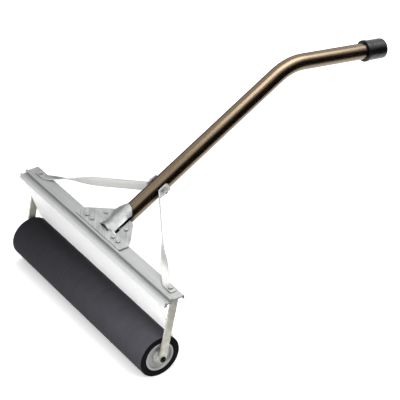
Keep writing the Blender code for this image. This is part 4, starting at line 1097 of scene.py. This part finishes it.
class HandleTube(bpy.types.Operator):
    """Bent tube with its open lower end"""
    bl_idname = "squeegee.handle_tube"
    bl_label = "Handle Tube"

    def execute(self, context):
        s = settings("handle")
        lay = Layout()
        path = bent_path([lay.tube_start, lay.corner, lay.tip - lay.drop * (GRIP_TOP + GAP)], [s.bend], 40)
        radius = s.tube / 2
        chamfer = 0.0004
        start, first = path[0]
        outer = [(start, first, radius - chamfer), (start + first * chamfer, first, radius)]
        outer += [(point, tangent, radius) for point, tangent in path[1:]]
        inner = [(point, tangent, radius - s.tube_wall) for point, tangent in path[::-1]]
        across = Vector((1, 0, 0))
        rings = []
        for point, tangent, r in outer + inner:
            lift = across.cross(tangent)
            rings.append([point + across * a + lift * b for a, b in circle(r, 96)])
        shape = skin(rings, looped=True)
        self.laid_along(shape, [point for point, _, _ in outer], 96, radius)
        piece("bent_tube", shape, [bronze_tube], "handle_tube")
        return {"FINISHED"}

    def laid_along(self, shape, line, count, radius):
        """A map in metres round and along the tube, for finishes that follow its bend."""
        runs = [0.0]
        for before, after in zip(line, line[1:]):
            runs.append(runs[-1] + (after - before).length)
        runs += [runs[-1]] + runs[-2:0:-1]
        shape.verts.index_update()
        layer = shape.loops.layers.uv.new("along_tube")
        for face in shape.faces:
            turns = [loop.vert.index % count for loop in face.loops]
            seam = max(turns) - min(turns) > 1
            for loop, turn in zip(face.loops, turns):
                turn = count if seam and turn == 0 else turn
                ring = min(loop.vert.index // count, len(runs) - 1)
                loop[layer].uv = (math.tau * radius * turn / count, runs[ring])


class GripCap(bpy.types.Operator):
    """Dipped cap with a collar, on the end of the tube"""
    bl_idname = "squeegee.grip_cap"
    bl_label = "Grip Cap"

    def execute(self, context):
        s = settings("handle")
        lay = Layout()
        bore = s.tube / 2 + GAP
        body = bore + s.grip_wall
        collar = body + s.collar_rise
        end = s.grip
        outline = [(end - GRIP_TOP, 0.0), (end - GRIP_TOP, bore), (0.0, bore), (0.0, collar),
                   (s.collar, collar), (s.collar + 0.0008, body), (end * 0.55, body - 0.0003),
                   (end, body), (end, 0.0)]
        radii = [0, 0, 0.0010, 0.0012, 0.0012, 0.0008, 0.0, 0.0055, 0]
        shape = lathe(rounded(outline, radii, 8, closed=False), 96, looped=False)
        turn = Vector((1, 0, 0)).rotation_difference(lay.drop).to_matrix().to_4x4()
        piece("vinyl_grip", turned(shape, turn), [dipped_vinyl], "grip_cap",
              lay.tip - lay.drop * s.grip)
        return {"FINISHED"}


class Saddle(Layout):
    """The bracket's heights and widths at any y: its wings, web and hood, and the skirt beside the slit."""

    def __init__(self):
        super().__init__()
        s = self.handle
        self.front = self.rail.ridge_y + self.rail.ridge_radius + GAP
        self.rear = self.rail.rear
        self.back = self.rear + s.reach
        self.mouth = self.rear - s.mouth_inset
        self.slit = self.rear + s.slit_start
        self.meeting = self.rear + (s.mouth_rise - s.crest) / math.tan(s.rise)
        self.end = self.rear + s.saddle_back

    def top(self, y):
        """Top of the plate at y."""
        s = self.handle
        return self.plate_z(y, s.sheet / math.cos(s.tilt) if y > self.rear else s.sheet)

    def edge_x(self, y, both=False):
        """Half width of the plate at y, with rounded front corners, and back ones too if both."""
        s = self.handle
        ends = y - self.front
        taper = s.half_width - s.tip_half_width
        edge = min(s.half_width, s.tip_half_width + (self.back - y) * taper / s.reach)
        edge = max(edge, self.saddle + TUBE_FIT)
        if both:
            ends = min(ends, self.back - y)
        ease = CORNER_ROUND
        if ends < ease:
            edge -= ease - math.sqrt(max(0.0, ease * ease - (ease - ends) ** 2))
        return edge

    def slit_x(self, y):
        """Right wing's inner edge at y."""
        s = self.handle
        share = (y - self.rear - s.slit_start) / (s.reach - s.slit_start)
        return self.saddle + s.slit + (s.slit_back - s.slit) * max(0.0, min(1.0, share))

    def free_edge(self, y):
        """Height of the saddle's free edge, which leaves the plate where the slit starts."""
        s = self.handle
        if y < self.slit:
            return self.top(y) + s.slit_low * (y - self.mouth) / (s.slit_start + s.mouth_inset)
        return self.top(y) + (s.slit_low + s.slit_gain * (y - self.rear - s.slit_start))

    def covers(self, y):
        """Rounds over the tube at y: height, half width, half height, and whether a web leaves it."""
        s = self.handle
        rounds = []
        if y < self.meeting + 0.0031:
            hood = self.top(self.rear) + s.mouth_rise - self.saddle
            rounds.append((hood, self.saddle, self.saddle, False))
        if y > self.rear + s.saddle_front - 0.0001:
            axis = self.tube_start.z + (y - self.tube_start.y) * math.tan(s.rise)
            rounds.append((axis, self.saddle, self.saddle / math.cos(s.rise), True))
        return rounds

    def height(self, x, y):
        """Height of the sheet's upper side over the tube."""
        s = self.handle
        found = self.top(y) if y <= self.back else -1.0
        edge, level = self.right_x(y), self.free_edge(y)
        for middle, wide, tall, webbed in self.covers(y):
            turn = -wide * math.sin(s.web)
            drop = (level - middle) * wide / tall
            away = math.hypot(edge, drop)
            leave = math.atan2(drop, edge) + math.acos(min(1.0, wide / away))
            leave_x, leave_z = wide * math.cos(leave), wide * math.sin(leave)
            if webbed and x < turn:
                high = middle + tall * math.cos(s.web) + (x - turn) * math.tan(s.web) * tall / wide
            elif away > wide and x > leave_x:
                slope = (drop - leave_z) / (edge - leave_x)
                high = middle + (leave_z + (x - leave_x) * slope) * tall / wide
            else:
                high = middle + tall * math.sqrt(max(0.0, 1 - (x / wide) ** 2))
            found = max(found, high)
        return found

    def right_x(self, y):
        """Where the arch ends on the right: on its round, or further out on the skirt beside the slit."""
        s = self.handle
        level = self.free_edge(y)
        found = max(wide * math.sqrt(max(0.0, 1 - ((level - middle) / tall) ** 2))
                    for middle, wide, tall, _ in self.covers(y) if level < middle + tall)
        along = y - self.rear - s.slit_start
        if along < 0:
            share = max(0.0, 1 + along / (s.slit_start + s.mouth_inset))
            return found + (max(found, s.skirt) - found) * share
        return max(found, s.skirt - (s.skirt - s.tube / 2) * along / (s.reach - s.slit_start))

    def left_x(self, y):
        """Where the arch, or its web, meets the left wing, or where the wing's side line trims it."""
        s = self.handle
        top = self.top(y)
        found = 0.0
        for middle, wide, tall, webbed in self.covers(y):
            drop = middle + tall * math.cos(s.web) - top
            if webbed and drop > 0:
                found = max(found, wide * math.sin(s.web) + drop * wide / tall / math.tan(s.web))
            elif top < middle + tall:
                found = max(found, wide * math.sqrt(max(0.0, 1 - ((top - middle) / tall) ** 2)))
        return min(found, self.edge_x(y) - 0.0006)

    def arch(self, y, share=0.0):
        """Points over the tube from left to right. A share leans them back towards the crest."""
        lean = math.tan(self.handle.saddle_lean) * share
        steepness = 1 - lean * math.tan(self.handle.rise)
        low = self.plate_z(self.end)

        def leaned(x):
            return y + lean * (self.height(x, y) - low) / steepness if share else y

        left, right = -self.left_x(y), self.right_x(y)
        if share:
            for _ in range(4):
                left, right = -self.left_x(leaned(left)), self.right_x(leaned(right))
        xs = [(left + right) / 2 - (right - left) / 2 * math.cos(math.pi * k / 44) for k in range(45)]
        return [(x, leaned(x), self.height(x, leaned(x))) for x in xs]

    def outside(self, y, side):
        """Left columns run from the wing's edge to the arch, and right ones from the slit to the edge."""
        near, far = (self.left_x(y), self.edge_x(y)) if side < 0 else (self.slit_x(y), self.edge_x(y, True))
        shares = (1.0, 0.65, 0.3, 0.0) if side < 0 else (0.0, 0.3, 0.65, 1.0)
        return [(side * (near + (max(far, near) - near) * t), y, self.top(y)) for t in shares]


class Bracket(bpy.types.Operator):
    """Stamped bracket: flat on the rail, wings tilted back, and a hooded saddle raised over the tube"""
    bl_idname = "squeegee.bracket"
    bl_label = "Bracket"

    def execute(self, context):
        s = settings("handle")
        form = Saddle()
        mouth, slit, rear, back = form.mouth, form.slit, form.rear, form.back
        wide, narrow = form.left_x(mouth), form.right_x(mouth)

        # Rows of the grid along y, closer together where the sheet turns
        past = form.meeting + 0.003
        flat = []
        for y in [form.front + step for step in (0.0, 0.0012, 0.0028, 0.005)] + [mouth - 0.008, mouth]:
            shift = (form.edge_x(y) - wide) / (form.edge_x(mouth) - wide)
            row = [-wide + (x + wide) * shift for x, _, _ in form.outside(mouth, -1)]
            row += [-wide * 0.5, 0.0, narrow * 0.5, narrow] + [x for x, _, _ in form.outside(y, 1)]
            flat.append([(x, y, form.top(y)) for x in row])
        hood = [mouth + (slit - mouth) * t for t in (0.0, 0.35, 0.7, 1.0)]
        arch = [slit, rear - 0.001, rear + s.saddle_front, (rear + form.meeting) / 2 + 0.002, form.meeting,
                past]
        arch += [past + (back - past) * k / 9 for k in range(1, 10)]
        wing = [slit + (back - slit) * t for t in (0.0, 0.3, 0.6, 0.85, 0.93, 0.97, 1.0)]
        tail = (0.0, 0.25, 0.5, 0.75, 1.0)

        shape = bmesh.new()
        for rows in (flat,
                     [form.outside(y, -1)[:-1] + form.arch(y) + form.outside(y, 1) for y in hood],
                     [form.outside(y, -1)[:-1] + form.arch(y) for y in arch],
                     [form.outside(y, 1) for y in wing],
                     [form.arch(back + (form.end - back) * t, t) for t in tail]):
            made = [[shape.verts.new(point) for point in row] for row in rows]
            for lower, upper in zip(made, made[1:]):
                for i in range(len(lower) - 1):
                    shape.faces.new((lower[i], lower[i + 1], upper[i + 1], upper[i]))
        bmesh.ops.remove_doubles(shape, verts=shape.verts, dist=2e-5)
        for face in shape.faces:
            face.normal_update()
            if face.normal.z < 0:
                face.normal_flip()
        made = piece("bracket", shape, [stamped_sheet], "handle_bracket", sharp=0.7,
                     mend=False)
        thickened(made, s.sheet)
        eased(made, 0.0004, 2, 0.8)
        return {"FINISHED"}


def smooth(share):
    """A share held between 0 and 1, with soft ends."""
    share = max(0.0, min(1.0, share))
    return share * share * (3 - 2 * share)


def mirrored(vector, side=-1):
    return Vector((side * vector.x, vector.y, vector.z))


def swept(path, wall, half_widths):
    """A flat bar along (point, direction, width direction) stations, with rounded edges."""
    rings = []
    high = wall / 2
    for (point, direction, wide), half in zip(path, half_widths):
        thick = direction.cross(wide).normalized()
        outline = rounded([(half, high), (-half, high), (-half, -high), (half, -high)], 0.0005, 3)
        rings.append([point + wide * a + thick * b for a, b in outline])
    return skin(rings)


class Clamp(bpy.types.Operator):
    """Strap under the tube, with an ear bolted under each wing"""
    bl_idname = "squeegee.clamp"
    bl_label = "Clamp"

    def execute(self, context):
        s = settings("handle")
        lay = Layout()
        seat, up = lay.clamp_seat(0)
        wing = Vector((0, math.cos(s.tilt), math.sin(s.tilt)))
        middle = s.tube / 2 + TUBE_FIT + s.sheet / 2
        ear = seat - up * (s.sheet + GAP + s.sheet / 2)
        height = (ear - lay.clamp).dot(lay.square)
        ear_bend, corner, corner_cut = 0.0035, 0.0012, 0.0014
        flank = bent_path([(s.clamp_ear, 0, height), (middle, 0, height), (middle, 0, 0)], [ear_bend], 8)
        toe, inward = flank[0]
        flank.insert(1, (toe - Vector((corner, 0, 0)), inward))
        bottom = [(Vector((math.cos(t), 0, math.sin(t))) * middle, Vector((math.sin(t), 0, -math.cos(t))))
                  for t in (-math.pi * i / 32 for i in range(1, 32))]
        path = []
        for local, step in flank + bottom + [(mirrored(p), -mirrored(t)) for p, t in flank[::-1]]:
            share = smooth(local.z / height)
            wide = (lay.rise * (1 - share) + wing * share).normalized()
            base = lay.clamp + Vector((local.x, 0, 0)) + lay.square * local.z
            if share > 0.99:
                base = Vector((local.x, ear.y, ear.z))
            direction = Vector((step.x, 0, 0)) + lay.square * step.z
            path.append((base, (direction - wide * direction.dot(wide)).normalized(), wide))
        halves = [s.clamp_width / 2] * len(path)
        halves[0] = halves[-1] = s.clamp_width / 2 - corner_cut
        shape = swept(path, s.sheet, halves)
        piece("clamp_strap", shape, [stamped_sheet], "socket_clamp")
        return {"FINISHED"}


class Braces(bpy.types.Operator):
    """Twisted flat bars from the rail's ends to the tube"""
    bl_idname = "squeegee.braces"
    bl_label = "Braces"

    def execute(self, context):
        s = settings("handle")
        lay = Layout()
        foot_z = lay.rail_top + GAP + s.brace_wall / 2
        tab = lay.joint + Vector((s.tube / 2 + GAP + s.brace_wall / 2, 0, 0))
        foot_out, foot_in, half_tab = 0.014, 0.018, 0.016
        foot_bend, tab_bend = 0.022, 0.012
        spacing = 0.003
        corners = [(lay.arm_bolt + foot_out, lay.bolt_row, foot_z),
                   (lay.arm_bolt - foot_in, lay.bolt_row, foot_z),
                   tab - lay.rise * half_tab, tab + lay.rise * half_tab]
        coarse = bent_path(corners, [foot_bend, tab_bend], 12)
        path = [coarse[0]]
        for (start, _), (end, step) in zip(coarse, coarse[1:]):
            count = max(1, round((end - start).length / spacing))
            path += [(start.lerp(end, k / count), step) for k in range(1, count)] + [(end, step)]
        runs = [0.0]
        for (before, _), (after, _) in zip(path, path[1:]):
            runs.append(runs[-1] + (after - before).length)
        twist_start, twist_length = 0.030, 0.160
        stations, halves = [], []
        for run, (point, tangent) in zip(runs, path):
            share = (run - twist_start) / twist_length
            turn = math.pi / 2 * smooth(share)
            upright = (Vector((0, 0, 1)) - tangent * tangent.z).normalized()
            wide = upright.cross(tangent) * math.cos(turn) + upright * math.sin(turn)
            half = (s.brace_foot + (s.brace - s.brace_foot) * min(1.0, max(0.0, share))) / 2
            ends = min(run, runs[-1] - run)
            if ends < CORNER_ROUND:
                half -= CORNER_ROUND * (1 - math.sqrt(max(0.0, 1 - (1 - ends / CORNER_ROUND) ** 2)))
            stations.append((point, tangent, wide))
            halves.append(half)
        for side, word in SIDES:
            path = [[mirrored(vector, side) for vector in station] for station in stations]
            shape = swept(path, s.brace_wall, halves)
            made = piece(f"twisted_brace_{word}", shape, [brace_bar], f"brace_{word}")
            made.visible_glossy = False
        return {"FINISHED"}


class Fasteners(bpy.types.Operator):
    """Hex bolts and nuts, and the cross bolt with its washers"""
    bl_idname = "squeegee.fasteners"
    bl_label = "Fasteners"

    def execute(self, context):
        f = settings("fastener")
        h = settings("handle")
        lay = Layout()
        top = lay.rail_top + GAP
        under = lay.rail_top - settings("rail").flange - GAP
        small = (f.small, f.small_flats, f.small_head, f.small_nut)
        low = h.tube / 2 + 2 * GAP + h.brace_wall
        high = low + f.washer_wall
        hole = f.cross / 2 + GAP
        washer = rounded([(low, hole), (low, f.washer / 2), (high, f.washer / 2), (high, hole)], 0.0004, 3)
        jobs = [("arm", lay.arm_bolt, top + h.brace_wall + GAP, under - settings("arm").thickness - GAP)]
        jobs += [(job, x, top + h.sheet + GAP, under) for job, x in BRACKET_BOLTS]
        for side, word in SIDES:
            for job, x, seat, nut in jobs:
                self.bolted(job, f"_{word}", small, seat - nut, Matrix.Identity(4),
                            (side * x, lay.bolt_row, seat))
            seat, up = lay.clamp_seat(side)
            self.bolted("clamp", f"_{word}", small, 2 * h.sheet + 3 * GAP, Matrix.Rotation(h.tilt, 4, "X"),
                        seat + up * GAP)
            spun(f"flat_washer_{word}", washer, 48, zinc_steel, f"cross_washer_{word}", side,
                 at=lay.joint)
        cross = (f.cross, f.cross_flats, f.cross_head, f.cross_nut)
        seat = h.tube / 2 + 3 * GAP + h.brace_wall + f.washer_wall
        self.bolted("cross", "", cross, 2 * seat, Matrix.Rotation(math.pi / 2, 4, "Y"),
                    lay.joint + Vector((seat, 0, 0)), 0.00125)
        return {"FINISHED"}

    def bolted(self, job, tail, size, grip, turn, seat, pitch=0.001):
        """A bolt with the underside of its head at the seat, and its nut at the other end of the grip."""
        diameter, flats, head, nut = size
        end = Vector(seat) - turn @ Vector((0, 0, grip))
        for kind, shape, at in (("bolt", bolt_shape(*size, grip, pitch), seat),
                                ("nut", nut_shape(diameter, flats, nut), end)):
            node = f"{job}_{kind}{tail}"
            piece(f"hex_{node}", turned(shape, turn), [zinc_steel], node, at)


class Stage(bpy.types.Operator):
    """Floor, softboxes, dark cards that the metal mirrors, world and camera"""
    bl_idname = "squeegee.stage"
    bl_label = "Stage"

    def execute(self, context):
        s = settings("stage")
        scene = context.scene
        scene.view_settings.view_transform = "Standard"
        floor_half = 12.0
        self.sheet("studio_floor", studio_floor, floor_half, 8)
        self.card("dark_card_right", (0.70, 0.85, 0.65), (0, -math.radians(71), 0), (1.38, 2.7),
                  black_card)
        self.card("dark_card_left", (-1.1, 0.5, 0.35), (0, -math.pi / 2, 0), (0.7, 2.6), black_card)
        self.card("white_card_above", (0.15, 1.30, 2.0), (0, 0, 0), (1.1, 2.7), white_card)
        self.softbox("key_softbox", s.key, (1.40, 0.20, 0.95), (0.15, 0, 0.12), (0.6, 0.6))
        self.softbox("back_softbox", s.fill, (-0.70, 1.70, 1.00), (0, 0, 0.12), (0.9, 0.6))
        front = ((0.45, -1.60, 0.56), (0.0, 0, 0.12), (1.0, 0.3))
        self.softbox("front_softbox", s.front, *front, "EXCLUDE")
        self.softbox("foam_softbox", s.foam, *front, "INCLUDE")
        self.softbox("foam_top_softbox", s.foam_top, (0.38, -0.19, 0.43), (0.20, 0, 0.10), (0.2, 0.2),
                     "INCLUDE")

        world = bpy.data.worlds.new("studio")
        scene.world = world
        world.use_nodes = True
        tree = world.node_tree
        strength = add(tree, "MapRange", {0: seen_rays(tree), 3: s.world})
        feed(tree, tree.nodes["Background"], {"Color": (1.0, 1.0, 1.0), "Strength": strength})
        camera = bpy.data.cameras.new("photo_camera")
        camera.sensor_width = 36.0
        camera.lens = s.lens
        camera.clip_end = 50.0
        made = bpy.data.objects.new("photo_camera", camera)
        scene.collection.objects.link(made)
        flat = math.cos(s.elevation)
        forward = Vector((-math.sin(s.azimuth) * flat, math.cos(s.azimuth) * flat, -math.sin(s.elevation)))
        middle_of_view = Vector((0.4532, SHIFT, 0.5918))
        made.location = middle_of_view - forward * s.distance
        made.rotation_euler = forward.to_track_quat("-Z", "Y").to_euler()
        scene.camera = made
        return {"FINISHED"}

    def sheet(self, name, maker, half, cells):
        """A flat square in the middle of the set."""
        shape = bmesh.new()
        bmesh.ops.create_grid(shape, x_segments=cells, y_segments=cells, size=half)
        mesh = bpy.data.meshes.new(name)
        shape.to_mesh(mesh)
        shape.free()
        mesh.materials.append(surface(maker))
        made = bpy.data.objects.new(name, mesh)
        bpy.context.scene.collection.objects.link(made)
        return made

    def card(self, name, place, turn, size, maker):
        """A card beside the set, seen only as a reflection in metal and gloss."""
        made = self.sheet(name, maker, 0.5, 1)
        made.location = (place[0], place[1] + SHIFT, place[2])
        made.rotation_euler = turn
        made.scale = (*size, 1.0)
        made.visible_camera = made.visible_diffuse = made.visible_shadow = False

    def softbox(self, name, power, place, target, size, foam=""):
        """A lamp that lights the whole set, or the foam only, or all but the foam.

        No surface mirrors the lamps. Metal mirrors the white studio and its cards.
        """
        lamp = bpy.data.lights.new(name, "AREA")
        lamp.shape = "RECTANGLE"
        lamp.size, lamp.size_y = size
        lamp.energy = power
        made = bpy.data.objects.new(name, lamp)
        shift = Vector((0, SHIFT, 0))
        made.location = Vector(place) + shift
        aim = Vector(target) + shift - made.location
        made.rotation_euler = aim.to_track_quat("-Z", "Y").to_euler()
        made.visible_glossy = False
        bpy.context.scene.collection.objects.link(made)
        if foam and "foam_roller" in bpy.data.objects:
            lit = bpy.data.collections.new(f"{name}_lights")
            lit.objects.link(bpy.data.objects["foam_roller"])
            lit.collection_objects[0].light_linking.link_state = foam
            made.light_linking.receiver_collection = lit


STEPS = (FoamRoller, RollerCore, Axle, Rail, Guard, Arms, HandleTube, GripCap, Bracket, Clamp, Braces,
         Fasteners, Stage)


class SqueegeePanel(bpy.types.Panel):
    """Lists the tool's pieces and their sizes"""
    bl_idname = "SQUEEGEE_PT_pieces"
    bl_label = "Roller Squeegee"
    bl_space_type = "VIEW_3D"
    bl_region_type = "UI"
    bl_category = "Squeegee"

    def draw(self, context):
        for step in STEPS:
            self.layout.operator(step.bl_idname)
        for name, kind in GROUPS.items():
            box = self.layout.box()
            box.label(text=name.capitalize())
            for key in kind.__annotations__:
                box.prop(settings(name), key)


CLASSES = (*GROUPS.values(), *STEPS, SqueegeePanel)


def register():
    for kind in CLASSES:
        bpy.utils.register_class(kind)
    for name, group in GROUPS.items():
        setattr(bpy.types.Scene, f"squeegee_{name}", PointerProperty(type=group))


def unregister():
    for name in GROUPS:
        delattr(bpy.types.Scene, f"squeegee_{name}")
    for kind in reversed(CLASSES):
        bpy.utils.unregister_class(kind)


def main():
    register()
    for step in STEPS:
        group, operation = step.bl_idname.split(".")
        getattr(getattr(bpy.ops, group), operation)()


if __name__ == "__main__":
    main()
